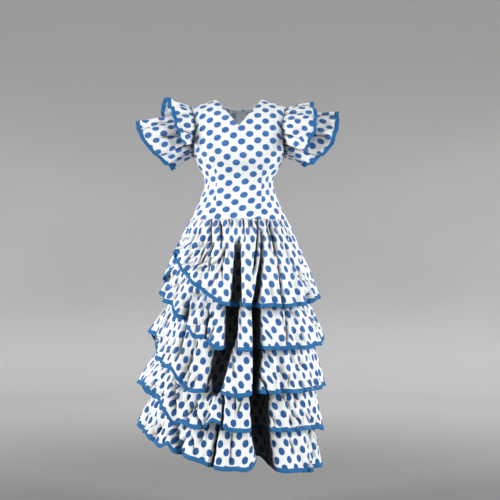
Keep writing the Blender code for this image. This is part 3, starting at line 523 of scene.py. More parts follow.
def add_grid(name, points, cut, closed, finishes, thickness=None, flip=False, shade=(0.0, 0.0)):
    """An object from a grid of points: rows run up, columns across. `cut` is the UV map, with one
    column more than the points where the grid closes on itself. `shade` is how deep in a fold each
    point lies, which sets the painted shade there, and how tightly gathered it is, 0 to 1, kept in a
    second UV map."""
    rows, columns = points.shape[:2]
    row, col = np.indices((rows - 1, columns if closed else columns - 1))
    up, after = row + 1, (col + 1) % columns
    painted_shade_and_gathers = np.stack(np.broadcast_arrays(np.zeros((rows, columns)), *shade)[1:], axis=-1)
    corners = ((row, col, col), (row, after, col + 1), (up, after, col + 1), (up, col, col))
    if flip:
        corners = corners[::-1]
    faces = np.stack([r * columns + c for r, c, _ in corners], axis=-1)
    made = add_mesh(name, points.reshape(-1, 3).tolist(), faces.reshape(-1, 4).tolist(), finishes)
    for word, places in (("cut", [cut[r, place] for r, _, place in corners]),
                         ("fold", [painted_shade_and_gathers[r, c] for r, c, _ in corners])):
        layer = made.data.uv_layers.new(name=word)
        layer.data.foreach_set("uv", np.stack(places, axis=2).astype(np.float32).ravel())
    if thickness:
        shell = made.modifiers.new("thickness", "SOLIDIFY")
        shell.thickness = thickness
        shell.offset = 0.0
        shell.material_offset = len(finishes) - 1
    return made


def sew(name, line, out, finish, closed=False):
    """Thread stitches along a line of points, as small spindles joined in one mesh; `out` is the
    direction out of the cloth at each point."""
    if closed:
        line = np.concatenate([line, line[:1]])
    run = run_along(line)
    at = np.arange(STITCH_PITCH / 2, run[-1], STITCH_PITCH)
    places, ahead, behind = (np.stack([np.interp(at + shift, run, line[:, k]) for k in range(3)], axis=1)
                             for shift in (0, STITCH_PITCH / 4, -STITCH_PITCH / 4))
    along = unit(ahead - behind)
    outward = out[np.clip((at / run[-1] * len(out)).astype(int), 0, len(out) - 1)]
    side = unit(np.cross(outward, along))
    half, wide = STITCH_LENGTH / 2, STITCH_WIDTH / 2
    spindle = np.stack([places - along * half, places + side * wide, places + outward * wide,
                        places - side * wide, places - outward * wide * 0.6, places + along * half], axis=1)
    corners = ((0, 2, 1), (0, 3, 2), (0, 4, 3), (0, 1, 4), (5, 1, 2), (5, 2, 3), (5, 3, 4), (5, 4, 1))
    faces = (np.arange(len(places)) * 6)[:, None, None] + np.array(corners)
    made = add_mesh(name, spindle.reshape(-1, 3).tolist(), faces.reshape(-1, 3).tolist(), [finish])
    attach(made, "dress")


def dress_cloth(made, nodes):
    """Let one piece of cloth ride with the dress and replace its solids."""
    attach(made, "dress")
    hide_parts(*nodes)


# ---------------------------------------------------------------- materials

class Shader:
    """A Principled material and short calls that add nodes to it."""

    def __init__(self, name, roughness, metallic=0.0):
        self.material = bpy.data.materials.new(name)
        self.material.use_nodes = True
        self.tree = self.material.node_tree
        self.principled = self.tree.nodes["Principled BSDF"]
        self.set(Roughness=roughness, Metallic=metallic)

    def set(self, **values):
        """Values of the shader's own sockets, with _ for each space in a name."""
        for name, value in values.items():
            self.feed(self.principled.inputs[name.replace("_", " ")], value)

    def feed(self, socket, value):
        """Link a socket to another, or set its value."""
        if isinstance(value, bpy.types.NodeSocket):
            self.tree.links.new(value, socket)
        else:
            socket.default_value = value

    def node(self, kind, *values, named=(), **settings):
        """A new node with its settings, and values for its first sockets or for named ones."""
        made = self.tree.nodes.new(kind)
        for key, value in settings.items():
            setattr(made, key, value)
        for socket, value in zip(made.inputs, values):
            self.feed(socket, value)
        for name, value in named:
            self.feed(made.inputs[name], value)
        return made

    def math(self, operation, *values):
        return self.node("ShaderNodeMath", *values, operation=operation).outputs[0]

    def mix(self, share, first, second):
        made = self.node("ShaderNodeMix", share, data_type="RGBA")
        for name, value in (("A_Color", first), ("B_Color", second)):
            socket = next(s for s in made.inputs if s.identifier == name)
            self.feed(socket, value if isinstance(value, bpy.types.NodeSocket) else (*value, 1.0))
        return next(s for s in made.outputs if s.identifier == "Result_Color")

    def object_place(self):
        return self.node("ShaderNodeTexCoord").outputs["Object"]

    def uv_map(self, name):
        return self.node("ShaderNodeUVMap", uv_map=name).outputs[0]

    def split(self, vector):
        """The three parts of a vector."""
        return self.node("ShaderNodeSeparateXYZ", vector).outputs[:3]

    def noise(self, vector, scale, detail=2.0, rough=0.5):
        named = [("Vector", vector), ("Scale", scale), ("Detail", detail), ("Roughness", rough)]
        return self.node("ShaderNodeTexNoise", named=named).outputs[0]

    def remap(self, value, low, high, to_low=0.0, to_high=1.0):
        return self.node("ShaderNodeMapRange", value, low, high, to_low, to_high,
                         interpolation_type="SMOOTHSTEP").outputs[0]

    def bump(self, height, distance, strength, under=None):
        named = [("Height", height), ("Distance", distance), ("Strength", strength)]
        if under is not None:
            named.append(("Normal", under))
        return self.node("ShaderNodeBump", named=named).outputs[0]

    def fleck(self, wave, share):
        """A wave from -1 to 1 brought between 0 and twice a share."""
        return self.math("MULTIPLY", self.math("ADD", wave, 1.0), share)

    def with_painted_fold_shade(self, colour):
        """A colour with painted shade: darker in the folds, as the second UV map says."""
        fold = self.split(self.uv_map("fold"))[0]
        return self.mix(self.math("MULTIPLY", fold, PAINTED_SHADE_STRENGTH), colour, PAINTED_SHADE_COLOUR)


def weave(shader, u, v, thread):
    """Height of a plain weave with threads of one width."""
    over = shader.math("SINE", shader.math("MULTIPLY", u, math.pi / thread))
    under = shader.math("SINE", shader.math("MULTIPLY", v, math.pi / thread))
    return shader.math("MULTIPLY", over, under)


def dot_mask(shader, u, v, wobble):
    """1 on the printed dots and 0 between them."""
    nearest = None
    for shift in (0.0, 0.5):
        place = []
        for value, period, half in zip((u, v), DOT_PERIOD, DOT_HALF):
            turn = shader.math("ADD", shader.math("DIVIDE", value, period), shift + 100.5)
            turn = shader.math("FRACT", turn)
            place.append(shader.math("MULTIPLY", shader.math("SUBTRACT", turn, 0.5), period / half))
        squares = [shader.math("POWER", shader.math("ABSOLUTE", part), 2.0) for part in place]
        distance = shader.math("SQRT", shader.math("ADD", *squares))
        nearest = distance if nearest is None else shader.math("MINIMUM", nearest, distance)
    return shader.remap(shader.math("ADD", nearest, wobble), 1.035, 0.965)


def cotton(name, white, blue, dark_blue, low_blue):
    """White cotton printed with blue ovals, whose blue is deeper low on the skirt. The scales of
    its noises are per metre of cloth."""
    shader = Shader(name, 0.82)
    place = shader.uv_map("cut")
    u, v, _ = shader.split(place)
    edge = shader.math("MULTIPLY", shader.math("SUBTRACT", shader.noise(place, 260.0, 3.0), 0.5), 0.16)
    dots = dot_mask(shader, u, v, edge)
    patch = shader.remap(shader.noise(place, 46.0, 3.0, 0.6), 0.35, 0.68)
    low = shader.remap(shader.split(shader.object_place())[2], *LOW_BLUE_Z)
    print_colour = shader.mix(low, shader.mix(patch, blue, dark_blue), low_blue)
    threads = weave(shader, u, v, COTTON_THREAD)
    fleck = shader.fleck(threads, 0.045)
    soiled = tuple(x * y for x, y in zip(white, (0.965, 0.968, 0.965)))
    ground = shader.mix(shader.remap(shader.noise(place, 9.0, 3.0), 0.3, 0.75), white, soiled)
    ground = shader.mix(fleck, ground, tuple(x * 0.9 for x in white))
    printed = shader.mix(fleck, print_colour, tuple(min(1.0, x * 1.6) for x in blue))
    crinkle = shader.bump(shader.noise(place, 42.0, 4.0, 0.55), 0.0034, 0.6)
    down_cloth = shader.node("ShaderNodeVectorMath", place, (0.16, 1.0, 1.0), operation="MULTIPLY").outputs[0]
    gathered = shader.split(shader.uv_map("fold"))[1]
    streaks = shader.math("MULTIPLY", shader.noise(down_cloth, 210.0, 2.0), gathered)
    gathers_in = shader.bump(streaks, 0.0030, 0.8, crinkle)
    slub = shader.math("ADD", threads, shader.math("MULTIPLY", shader.noise(place, 900.0, 2.0), 0.8))
    # The printed cloth's colour gets painted shade in its folds.
    shader.set(Base_Color=shader.with_painted_fold_shade(shader.mix(dots, ground, printed)),
               Normal=shader.bump(slub, 0.00006, 0.6, gathers_in),
               Sheen_Weight=0.05, Sheen_Roughness=0.5, Specular_IOR_Level=0.25)
    return shader.material


def binding_cloth():
    """Blue bias binding: a diagonal weave with small puckers."""
    shader = Shader("binding_blue", 0.72)
    place = shader.uv_map("cut")
    u, v, _ = shader.split(place)
    threads = weave(shader, shader.math("ADD", u, v), shader.math("SUBTRACT", u, v), BINDING_THREAD)
    patch = shader.remap(shader.noise(place, 38.0, 3.0, 0.6), 0.3, 0.7)
    base = shader.mix(patch, (0.010, 0.135, 0.340), (0.006, 0.100, 0.270))
    flecked = shader.mix(shader.fleck(threads, 0.09), base, (0.03, 0.20, 0.42))
    pucker = shader.bump(shader.noise(place, 190.0, 2.0), 0.0012, 0.5)
    # The binding's colour gets painted shade in the folds it crosses.
    shader.set(Base_Color=shader.with_painted_fold_shade(flecked), Normal=shader.bump(threads, 0.00007, 0.7, pucker),
               Sheen_Weight=0.06, Sheen_Roughness=0.4, Specular_IOR_Level=0.3)
    return shader.material


def thread(name, light, dark):
    """Sewing thread: a twist along each stitch."""
    shader = Shader(name, 0.55)
    twist = shader.noise(shader.object_place(), 1600.0, 1.0)
    shader.set(Base_Color=shader.mix(shader.remap(twist, 0.35, 0.65), light, dark),
               Normal=shader.bump(twist, 0.0001, 0.6))
    return shader.material


def zip_tape():
    """White woven tape."""
    shader = Shader("zip_tape_white", 0.8)
    z = shader.split(shader.object_place())[2]
    rib = shader.math("SINE", shader.math("MULTIPLY", z, math.pi / TAPE_RIB))
    shader.set(Base_Color=shader.mix(shader.fleck(rib, 0.08), (0.80, 0.82, 0.82), (0.62, 0.64, 0.66)),
               Normal=shader.bump(rib, 0.0001, 0.6))
    return shader.material


def nickel():
    """Plated metal with fine scratches."""
    shader = Shader("nickel_plate", 0.3, metallic=1.0)
    scratch = shader.noise(shader.object_place(), 700.0, 4.0, 0.7)
    shader.set(Base_Color=shader.mix(shader.remap(scratch, 0.4, 0.7), (0.64, 0.63, 0.60), (0.50, 0.49, 0.47)),
               Roughness=shader.remap(scratch, 0.3, 0.7, 0.24, 0.42),
               Normal=shader.bump(scratch, 0.00005, 0.5))
    return shader.material


COTTON = cotton("cotton_printed", (0.800, 0.815, 0.812), (0.050, 0.165, 0.420), (0.022, 0.105, 0.330),
                (0.010, 0.085, 0.270))
COTTON_BACK = cotton("cotton_wrong_side", (0.860, 0.875, 0.875), (0.350, 0.470, 0.640),
                     (0.300, 0.420, 0.600), (0.300, 0.420, 0.600))
BINDING = binding_cloth()
THREAD_BLUE = thread("thread_blue", (0.03, 0.20, 0.42), (0.015, 0.12, 0.30))
THREAD_WHITE = thread("thread_white", (0.84, 0.85, 0.85), (0.66, 0.68, 0.70))
TAPE = zip_tape()
COIL = thread("zip_coil_white", (0.80, 0.82, 0.83), (0.66, 0.69, 0.72))
NICKEL = nickel()


# ---------------------------------------------------------------- skirt

def turn_of(share):
    """Angle round the skirt, in degrees, of a share of the waves; the waves are uneven."""
    turn = np.array(share, float)
    for size, waves, phase in UNEVEN:
        turn = turn + size * np.sin(2 * math.pi * waves * share + phase)
    return turn * 360.0


def around(angle, radius, z):
    """Points at an angle, a radius and a height."""
    turn = np.radians(angle)
    return np.stack(np.broadcast_arrays(radius * np.sin(turn), -radius * np.cos(turn), z), axis=-1)


def body_radius(angle, z):
    """Distance of the foundation from the middle of the dress, without its folds."""
    right, left, front, back = (read(SKIRT, k, z) for k in (1, 2, 3, 4))
    sine, cosine = np.sin(np.radians(angle)), np.cos(np.radians(angle))
    sideways = np.abs(sine) / np.where(sine > 0, left, right)
    forwards = np.abs(cosine) / np.where(cosine > 0, front, back)
    return (sideways**SECTION_POWER + forwards**SECTION_POWER)**(-1 / SECTION_POWER)


def foundation_radius(angle, z):
    """Distance of the foundation, which gives way under the deep folds of the flounces."""
    radius = body_radius(angle, z)
    depth = 0.0
    for angles, depths, widths in FOUNDATION_FOLDS:
        away = np.radians(half_turn(angle - smooth(FOLD_LEVELS, angles, z))) * radius
        distance = np.abs(away) / smooth(FOLD_LEVELS, widths, z)
        depth = np.maximum(depth, smooth(FOLD_LEVELS, depths, z) * np.exp(-distance**RECESS_POWER))
    under_seam = ease((SEAM_Z - 0.004 - z) / 0.03)
    over_edge = ease((z - edge_height(0, angle) - 0.06) / 0.04)
    return radius - depth - FOUNDATION_SLACK * under_seam * over_edge


def edge_height(index, angle):
    """Height of a flounce's free edge."""
    return read(FLOUNCES[index], 1, angle, 360)


def top_height(index, angle):
    """Height of the seam that a flounce hangs from."""
    if index == 0:
        return np.full_like(angle, SEAM_Z - 0.0003)
    return edge_height(index - 1, angle) + OVERLAP


def hidden_creases(index):
    """Folds like those in front, for the sides and the back of a flounce."""
    draw = np.random.default_rng(40 + index)
    rows = []
    angle = 92.0 + 5 * index
    while angle < 292:
        lean = draw.uniform(-10, 10)
        first = draw.choice([0.0, 0.25, 0.5], p=[0.5, 0.3, 0.2])
        last = first + draw.uniform(0.35, 1.3)
        depths, halves = SHARP_FOLD if draw.random() < 0.6 else SOFT_FOLD
        depth, half = draw.uniform(*depths), draw.uniform(*halves)
        rows.append((angle, angle + lean, first, last, depth, depth * draw.uniform(0.5, 1.2),
                     half, half * draw.uniform(1.0, 1.4)))
        angle += draw.uniform(8, 19)
    return rows


def hidden_recesses(index):
    """Three deep folds behind and one on the left side, which drift a little from tier to tier."""
    drift = (0, 3, -2, 2, -3)[index]
    first = 0.2 if index == 0 else 0.0
    return [(178 + drift, 181 + drift, first, 1.5, 0.030, 0.055, 0.010, 0.014),
            (128 - drift, 125 - drift, first, 1.5, 0.022, 0.040, 0.009, 0.011),
            (-140 + drift, -142, first, 1.5, 0.024, 0.046, 0.010, 0.013)]


def gathers(index):
    """Fine gathers that run down from a flounce's seam and fade."""
    draw = np.random.default_rng(7 + index)
    count, reaches, depths = GATHERS[index > 0]
    rows = []
    for number in range(count):
        angle = (number + draw.uniform(-0.42, 0.42)) * 360 / count
        reach = draw.uniform(*reaches)
        if draw.random() < 0.14:
            reach *= 1.9
        depth = draw.uniform(*depths)
        rows.append((angle, angle + draw.uniform(-9, 9), 0.0, reach, depth, depth * 0.4,
                     draw.uniform(0.0018, 0.0030), draw.uniform(0.003, 0.006)))
    return rows


def rumples(index):
    """Short slanted creases of worn cotton, thickest where the flounce is drawn up to the side."""
    draw = np.random.default_rng(41 + index)
    rows = []
    for low, high, count, steep, flat in RUMPLE_FIELDS[index]:
        for _ in range(count):
            first = draw.uniform(0.10, 0.78)
            slope = draw.uniform(steep, flat)
            depth = draw.uniform(0.0060, 0.0130)
            half = draw.uniform(0.0028, 0.0044)
            seam = draw.uniform(low, high) - slope * first
            rows.append((seam, seam + slope, first, first + draw.uniform(0.22, 0.46), depth, depth * 0.8,
                         half, half * 1.1))
    return rows


SMALL_FOLDS = [CREASES[index] + hidden_creases(index) + gathers(index) + rumples(index) for index in range(5)]
LARGE_FOLDS = [RECESSES[index] + hidden_recesses(index) for index in range(5)]


def flounce_radius(index, share, drop):
    """Distance of a flounce from the middle of the dress at a share of its waves and a drop."""
    angle = turn_of(share)
    top = top_height(index, angle)
    z = top + (edge_height(index, angle) - top) * drop
    body = body_radius(angle, z)
    lift = read(FLOUNCES[index], 2, angle, 360) * np.abs(drop)**LIFT_POWER[index]
    if index == 0:
        lift = lift + TOP_STEP * ease(drop * 12)
    phase = 2 * math.pi * (TOP_WAVES if index == 0 else WAVES) * share
    size = 1 + 0.45 * np.sin(phase / 3.7 + index * 2.1) + 0.25 * np.sin(phase / 2.3 + index)
    wave = WAVE_DEPTH[index] * size * np.minimum(np.abs(drop) * 1.2, 1.0) * lobed(phase, FLOUNCE_LOBE)
    x, y = np.cos(2 * math.pi * share), np.sin(2 * math.pi * share)
    rumple = crumple(x * 0.30 * 21 + 31.7 * index, y * 0.30 * 21, z * 11)
    calm = 0.35 + 0.65 * ease(grain(x * 3 + 5 * index, y * 3, z * 5) + 0.5)
    rough = FLOUNCE_RUMPLE * (rumple - 0.5) * calm * ease(drop * 3)
    radius = body + lift + wave + rough + LAYER * (index > 0)
    radius = radius - folds(SMALL_FOLDS[index], angle, drop, body, CREASE_POWER)
    radius = radius - folds(LARGE_FOLDS[index], angle, drop, body, RECESS_POWER)
    limit = inner_radius(index + 1, share, angle, z) + FLOUNCE_CLEAR
    return limit + SOFT_STOP * np.logaddexp(0.0, (radius - limit) / SOFT_STOP), angle, z


def inner_radius(index, share, angle, z):
    """Distance of whatever cloth lies next inside a flounce at a height."""
    inner = foundation_radius(angle, z)
    if index < len(FLOUNCES):
        top = top_height(index, angle)
        drop = (top - z) / (top - edge_height(index, angle))
        under = (drop > -0.01) & (drop < 1.05)
        if np.any(under):
            found = flounce_radius(index, np.broadcast_to(share, z.shape)[under], drop[under])[0]
            inner = np.array(np.broadcast_to(inner, z.shape))
            inner[under] = np.maximum(inner[under], found)
    return inner


def recess_lips(index, angle, drop, radius):
    """Degrees by which the lips of the deep folds lean over them."""
    lean = np.zeros(np.broadcast(angle, drop).shape)
    for seam, edge, first, last, _, _, half, half_end in LARGE_FOLDS[index]:
        wide = half + (half_end - half) * np.clip((drop - first) / (last - first), 0.0, 1.0)
        distance = np.radians(half_turn(angle - seam - (edge - seam) * drop)) * radius / wide
        beside = np.exp(-((np.abs(distance) - 1.15) / 0.55)**2)
        lip = beside * (1 - np.exp(-np.abs(distance)**RECESS_POWER))
        lean = lean - np.sign(distance) * lip * LIP * wide * ease((drop - first) / 0.2)
    return np.degrees(lean / radius)


def flounce_points(index, share, drop):
    """Points on the middle of a flounce's cloth."""
    share, drop = np.broadcast_arrays(share, drop)
    radius, angle, z = flounce_radius(index, share, drop)
    hem = 0.0016 * np.sin(angle * 0.31 + index * 2.0) * np.clip(drop, 0, 1)**3
    return around(angle + recess_lips(index, angle, drop, radius), radius, z + hem)


def columns_along(surface, start, end, count, levels, samples):
    """Shares of a surface's columns, spaced evenly along its folded cloth at two levels, and the
    length of the cloth at the second of them."""
    share = np.linspace(start, end, samples)
    runs = [run_along(surface(share, np.full_like(share, level))) for level in levels]
    mean = runs[0] / runs[0][-1] + runs[1] / runs[1][-1]
    return np.interp(np.linspace(0, mean[-1], count + 1), mean, share), runs[1][-1]


def strip_grid(surface, share, rows):
    """Points of a strip of cloth from its free edge up to its seam, with the length of each column,
    the level of each row and the drop of each point."""
    seam, edge = surface(share, np.zeros_like(share)), surface(share, np.ones_like(share))
    length = np.linalg.norm(edge - seam, axis=1)
    level = np.linspace(0.0, 1.0, rows)[::-1, None]
    drop = level * (1 - HEM_GAP / length)
    return surface(np.broadcast_to(share, drop.shape), drop), length, level, drop


def surface_normals(surface, share, drop):
    """Outward normals of surface(share, drop) from its own slopes."""
    along = surface(share + 4e-4, drop) - surface(share - 4e-4, drop)
    rising = surface(share, drop - 4e-3) - surface(share, drop + 4e-3)
    return unit(np.cross(along, rising))


def add_binding(name, surface, share, length, closed, node, flip=False, shade=0.0):
    """A folded binding round the free edge of surface(share, drop), with its line of stitches."""
    rings = []
    for number, (off, up) in enumerate(BINDING_SECTION):
        drop = 1 - up / length
        pucker = 0.00022 * np.sin(share * 930 + number) * (up > 0.002)
        out = (off + np.sign(off) * pucker)[:, None]
        rings.append(surface(share, drop) + surface_normals(surface, share, drop) * out)
    rings = np.stack(rings + rings[:1])
    run = run_along(np.concatenate([rings[4], rings[4][:1]]) if closed else rings[4])
    height = [up if off > 0 else -up for off, up in BINDING_SECTION] + [-BINDING_SECTION[-1][1]]
    cut = np.stack(np.meshgrid(run, height), axis=-1)
    made = add_grid(name, rings, cut, closed, [BINDING], flip=not flip, shade=(shade, 0.0))
    close_tube(made)
    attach(made, "dress")
    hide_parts(node)
    drop = 1 - BINDING_STITCH / length
    out = surface_normals(surface, share, drop)
    sew(f"{name}_stitches", surface(share, drop) + out * 0.0015, out, THREAD_BLUE, closed)
    return made


def close_tube(made):
    """Join the first and last rows of a tube that was made as a grid, and close its open ends."""
    work = bmesh.new()
    work.from_mesh(made.data)
    bmesh.ops.remove_doubles(work, verts=work.verts, dist=1e-7)
    rim = [edge for edge in work.edges if edge.is_boundary]
    if rim:
        bmesh.ops.holes_fill(work, edges=rim, sides=0)
    work.to_mesh(made.data)
    work.free()


def build_flounce(index):
    """One flounce with its binding."""
    number = index + 1
    tables = SMALL_FOLDS[index], LARGE_FOLDS[index]

    def surface(share, drop):
        return flounce_points(index, share, drop)

    chosen, total = columns_along(surface, -0.5, 0.5, COLUMNS[index], (0.12, 0.85), FLOUNCE_SAMPLES)
    share = chosen[:-1]
    points, length, level, drop = strip_grid(surface, share, ROWS[index])
    radius = np.hypot(points[..., 0], points[..., 1])
    middle = turn_of((chosen[1:] + chosen[:-1]) / 2)
    across = flatten(points, total, crease_weight(*tables, middle, drop, radius), True)
    below_seam = (SEAM_Z - top_height(index, turn_of(chosen))) * DROP_LENGTH
    down = level * (np.append(length, length[0]) - HEM_GAP) + below_seam
    cut = np.stack([down, across], axis=-1) + number * np.array(PRINT_SHIFT)
    # Painted shade for the flounce's folds; its binding takes a share of it.
    shade = painted_fold_shade(*tables, turn_of(share), drop, radius)
    gathered = np.clip(1 - drop / GATHERS_END[index > 0], 0.0, 1.0)
    made = add_grid(f"flounce_{number}_cloth", points, cut, True, [COTTON, COTTON_BACK], CLOTH,
                    shade=(shade, gathered))
    binding = add_binding(f"flounce_{number}_edge", surface, share[::2], length[::2], True,
                          f"flounce_binding_{number}", shade=shade[0, ::2] * BINDING_PAINTED_SHADE[index])
    dress_cloth(made, [f"flounce_{number}"])


def build_foundation():
    """The plain skirt that carries the flounces."""
    angle = turn_of(np.linspace(-0.5, 0.5, 241))
    level = np.linspace(1.0, 0.0, 30)[:, None]
    z = SEAM_Z - 0.0022 + (top_height(4, angle) - SEAM_Z) * level
    angle = np.broadcast_to(angle, z.shape)
    points = around(angle, foundation_radius(angle, z) - 0.0006, z)
    cut = np.stack(np.broadcast_arrays(-z, run_along(points[8])), axis=-1)
    made = add_grid("skirt_foundation", points[:, :-1], cut, True, [COTTON, COTTON_BACK], CLOTH)
    dress_cloth(made, ["skirt_front", "skirt_back"])


# ---------------------------------------------------------------- bodice

def armhole_forward(z, reach):
    """How far the armhole edge lies in front of or behind the side seam at a height."""
    middle = (SHOULDER_Z + ARMPIT_Z) / 2
    rise = np.clip((z - middle) / (SHOULDER_Z - middle), -1.0, 1.0)
    return reach * np.sqrt(np.maximum(1.0 - rise**2, 0.0))


def shoulder_line(x):
    """Height of the shoulder seam above a point."""
    slope = (SHOULDER_Z - NECK_Z) / (SHOULDER_X - NECK_X)
    return np.where(x < NECK_X, NECK_Z, NECK_Z + slope * (x - NECK_X))


def bodice_surface(front, start_x=0.0):
    """surface(across, up) for half a panel: 0..1 from the middle to the side, 0..1 upwards."""
    depth_column, neck_low, neck_power, reach, facing = (
        (2, V_POINT_Z, 1.0, ARMHOLE_FRONT, -1.0) if front else (3, BACK_NECK_Z, 2.0, ARMHOLE_BACK, 1.0))

    def surface(across, up):
        side = np.abs(across)
        climb = np.clip((up - ARMPIT_ROW) / (1.0 - ARMPIT_ROW), 0.0, None)
        low = SEAM_Z + (ARMPIT_Z - SEAM_Z) * np.minimum(up, ARMPIT_ROW) / ARMPIT_ROW
        z_middle = low + (neck_low - ARMPIT_Z) * climb
        z_side = low + (SHOULDER_Z - ARMPIT_Z) * climb
        on_neck = np.minimum(side / 0.5, 1.0)
        on_shoulder = np.maximum(side / 0.5 - 1.0, 0.0)
        edge_x = NECK_X * on_neck + (SHOULDER_X - NECK_X) * on_shoulder
        edge_z = neck_low + (NECK_Z - neck_low) * on_neck**neck_power + (SHOULDER_Z - NECK_Z) * on_shoulder
        straight = neck_low + (SHOULDER_Z - neck_low) * side
        z = z_middle + (z_side - z_middle) * side + climb**2 * (edge_z - straight)
        blend = np.clip(climb, 0.0, 1.0)
        share = (1 - blend) * np.sin(np.clip(side, 0, 1) * math.pi / 2) + blend * edge_x / SHOULDER_X
        half = np.where(up <= ARMPIT_ROW, read(BODY, 1, z_side), read(ARMHOLE, 1, z_side))
        x = start_x + (half - start_x) * share
        below = np.clip((shoulder_line(x) - z) / SHOULDER_ROUND, 0.0, 1.0)
        rounding = (1.0 - (1.0 - below)**SHOULDER_POWER)**(1.0 / SHOULDER_POWER)
        depth = read(BODY, depth_column, z) * rounding
        edge_y = np.where(up <= ARMPIT_ROW, 0.0, armhole_forward(z_side, reach)) + SEAM_HALF
        power = 1 / SECTION_POWER + (1 - 1 / SECTION_POWER) * blend
        bulge = np.maximum(1.0 - share**SECTION_POWER, 0.0)**power
        y = edge_y + np.maximum(depth - edge_y, 0.0) * bulge
        return np.stack([np.copysign(x, across), facing * y, z], axis=-1)

    return surface


INNER_DART, OUTER_DART = 0.42, 0.66      # places of the darts among a panel's columns


def dart_columns(place, up):
    """Panel coordinates whose columns run along the two darts."""
    z = SEAM_Z + (ARMPIT_Z - SEAM_Z) * np.minimum(up / ARMPIT_ROW, 1.0)
    half = read(BODY, 1, z)
    inner, outer = (np.arcsin(np.clip(read(DARTS, k, z) / half, 0, 0.98)) * 2 / math.pi for k in (1, 2))
    side = np.abs(place)
    between = inner + (side - INNER_DART) / (OUTER_DART - INNER_DART) * (outer - inner)
    beyond = outer + (side - OUTER_DART) / (1 - OUTER_DART) * (1 - outer)
    result = np.where(side < INNER_DART, side / INNER_DART * inner,
                      np.where(side < OUTER_DART, between, beyond))
    calm = ease((up - 0.50) / 0.35)
    return np.copysign(result * (1 - calm) + side * calm, place)


def half_columns(count):
    """Columns from the middle to the side, with some exactly on the darts."""
    pieces, start = [], 0.0
    for share in (INNER_DART, OUTER_DART - INNER_DART, 1 - OUTER_DART):
        steps = max(2, round(count * share))
        pieces.append(start + share * np.arange(steps) / steps)
        start += share
    return np.append(np.concatenate(pieces), 1.0)


def panel_cut(points, place):
    """Flat cloth under a bodice panel: across at one height, and up from the waist."""
    columns = range(points.shape[1])
    z_levels = np.linspace(points[..., 2].min(), points[..., 2].max(), 240)
    section = [[np.interp(z_levels, points[:, c, 2], points[:, c, k]) for k in (0, 1)] for c in columns]
    section = np.moveaxis(section, -1, 0)
    reached = z_levels[:, None] <= points[-1, :, 2] + 1e-6
    step = np.linalg.norm(np.diff(section, axis=1), axis=-1) * (reached[:, 1:] & reached[:, :-1])
    run = np.concatenate([np.zeros((len(z_levels), 1)), np.cumsum(step, axis=1)], axis=1)
    start = section[np.arange(len(z_levels)), np.argmax(reached, axis=1), 0]
    run = run + np.abs(start)[:, None]
    across = np.stack([np.interp(points[:, c, 2], z_levels, run[:, c]) for c in columns], axis=1)
    for dart, take in ((INNER_DART, 3), (OUTER_DART, 4)):
        across = across + read(DARTS, take, points[..., 2]) * (np.abs(place) > dart + 1e-6)
    lift = np.linalg.norm(np.diff(points[:, :, 1:], axis=0), axis=-1)
    up = np.concatenate([np.zeros((1, len(columns))), np.cumsum(lift, axis=0)])
    waist = np.array([np.interp(WAIST_Z, points[:, c, 2], up[:, c]) for c in columns])
    return across, up - waist


def bodice_wrinkles(points, front):
    """Small drag lines and softness over the bodice."""
    x, z = points[..., 0], points[..., 2]
    turn = 3.1 if front else 9.7
    soft = grain(x * 16 + turn, z * 16, turn) * 0.0011
    drag = grain(x * 9 + turn, z * 55, turn + 4) * 0.0007 * np.exp(-((z - WAIST_Z) / 0.07)**2)
    pull = crumple(x * 22 + turn, z * 22, turn) * 0.0008
    return soft + drag + pull


def build_panel(word, side, count, rows):
    """A bodice panel with its darts, seams and print; `side` is 0 for the front."""
    half = half_columns(count)
    place = half * side if side else np.concatenate([-half[:0:-1], half])
    if side > 0:
        place = place[::-1]
    surface = bodice_surface(not side, OPENING_X if side else 0.0)
    grid_place, grid_up = np.meshgrid(place, np.linspace(0.0, 1.0, rows))
    points = surface(dart_columns(grid_place, grid_up), grid_up)
    normal = unit(np.cross(np.gradient(points, axis=1), np.gradient(points, axis=0)))
    cut_across = np.zeros(points.shape[:2])
    cut_up = np.zeros(points.shape[:2])
    for sign in ((side,) if side else (1, -1)):
        chosen = np.flatnonzero(place * sign >= -1e-9)
        ranked = chosen[np.argsort(np.abs(place[chosen]))]
        across, upward = panel_cut(points[:, ranked], place[ranked])
        cut_across[:, ranked] = across * sign
        cut_up[:, ranked] = upward
    x, z = points[..., 0], points[..., 2]
    offset = bodice_wrinkles(points, not side)
    for dart, take in ((1, 3), (2, 4)):
        taken = np.clip(read(DARTS, take, z) / 0.006, 0, 1)
        distance = (np.abs(x) - read(DARTS, dart, z)) / DART_HALF
        offset = offset - DART_GROOVE * taken * np.exp(-distance**2)
    points = points + normal * offset[..., None]
    drift = read(PRINT_DRIFT, 1, points[..., 2])
    cut = np.stack([cut_across - drift, cut_up - DOT_SLANT * cut_across], axis=-1) - np.array(PRINT_START)
    made = add_grid(f"bodice_{word}_cloth", points, cut, False, [COTTON, COTTON_BACK], CLOTH)
    dress_cloth(made, [f"bodice_{word}"])
    return points, normal, place


def inset_line(points, normal, inset):
    """The line at a distance in from the first row of a grid, with the outward direction along it."""
    run = np.cumsum(np.linalg.norm(np.diff(points, axis=0), axis=-1), axis=0)
    columns = np.arange(run.shape[1])
    after = np.argmax(run > inset, axis=0)
    before = np.where(after > 0, run[after - 1, columns], 0.0)
    share = ((inset - before) / (run[after, columns] - before))[:, None]
    line = points[after, columns] * (1 - share) + points[after + 1, columns] * share
    return line, normal[after, columns]


def sew_white(name, line, out):
    """White stitches on the cloth along a line."""
    sew(name, line + out * (CLOTH / 2 + STITCH_WIDTH * 0.2), out, THREAD_WHITE)


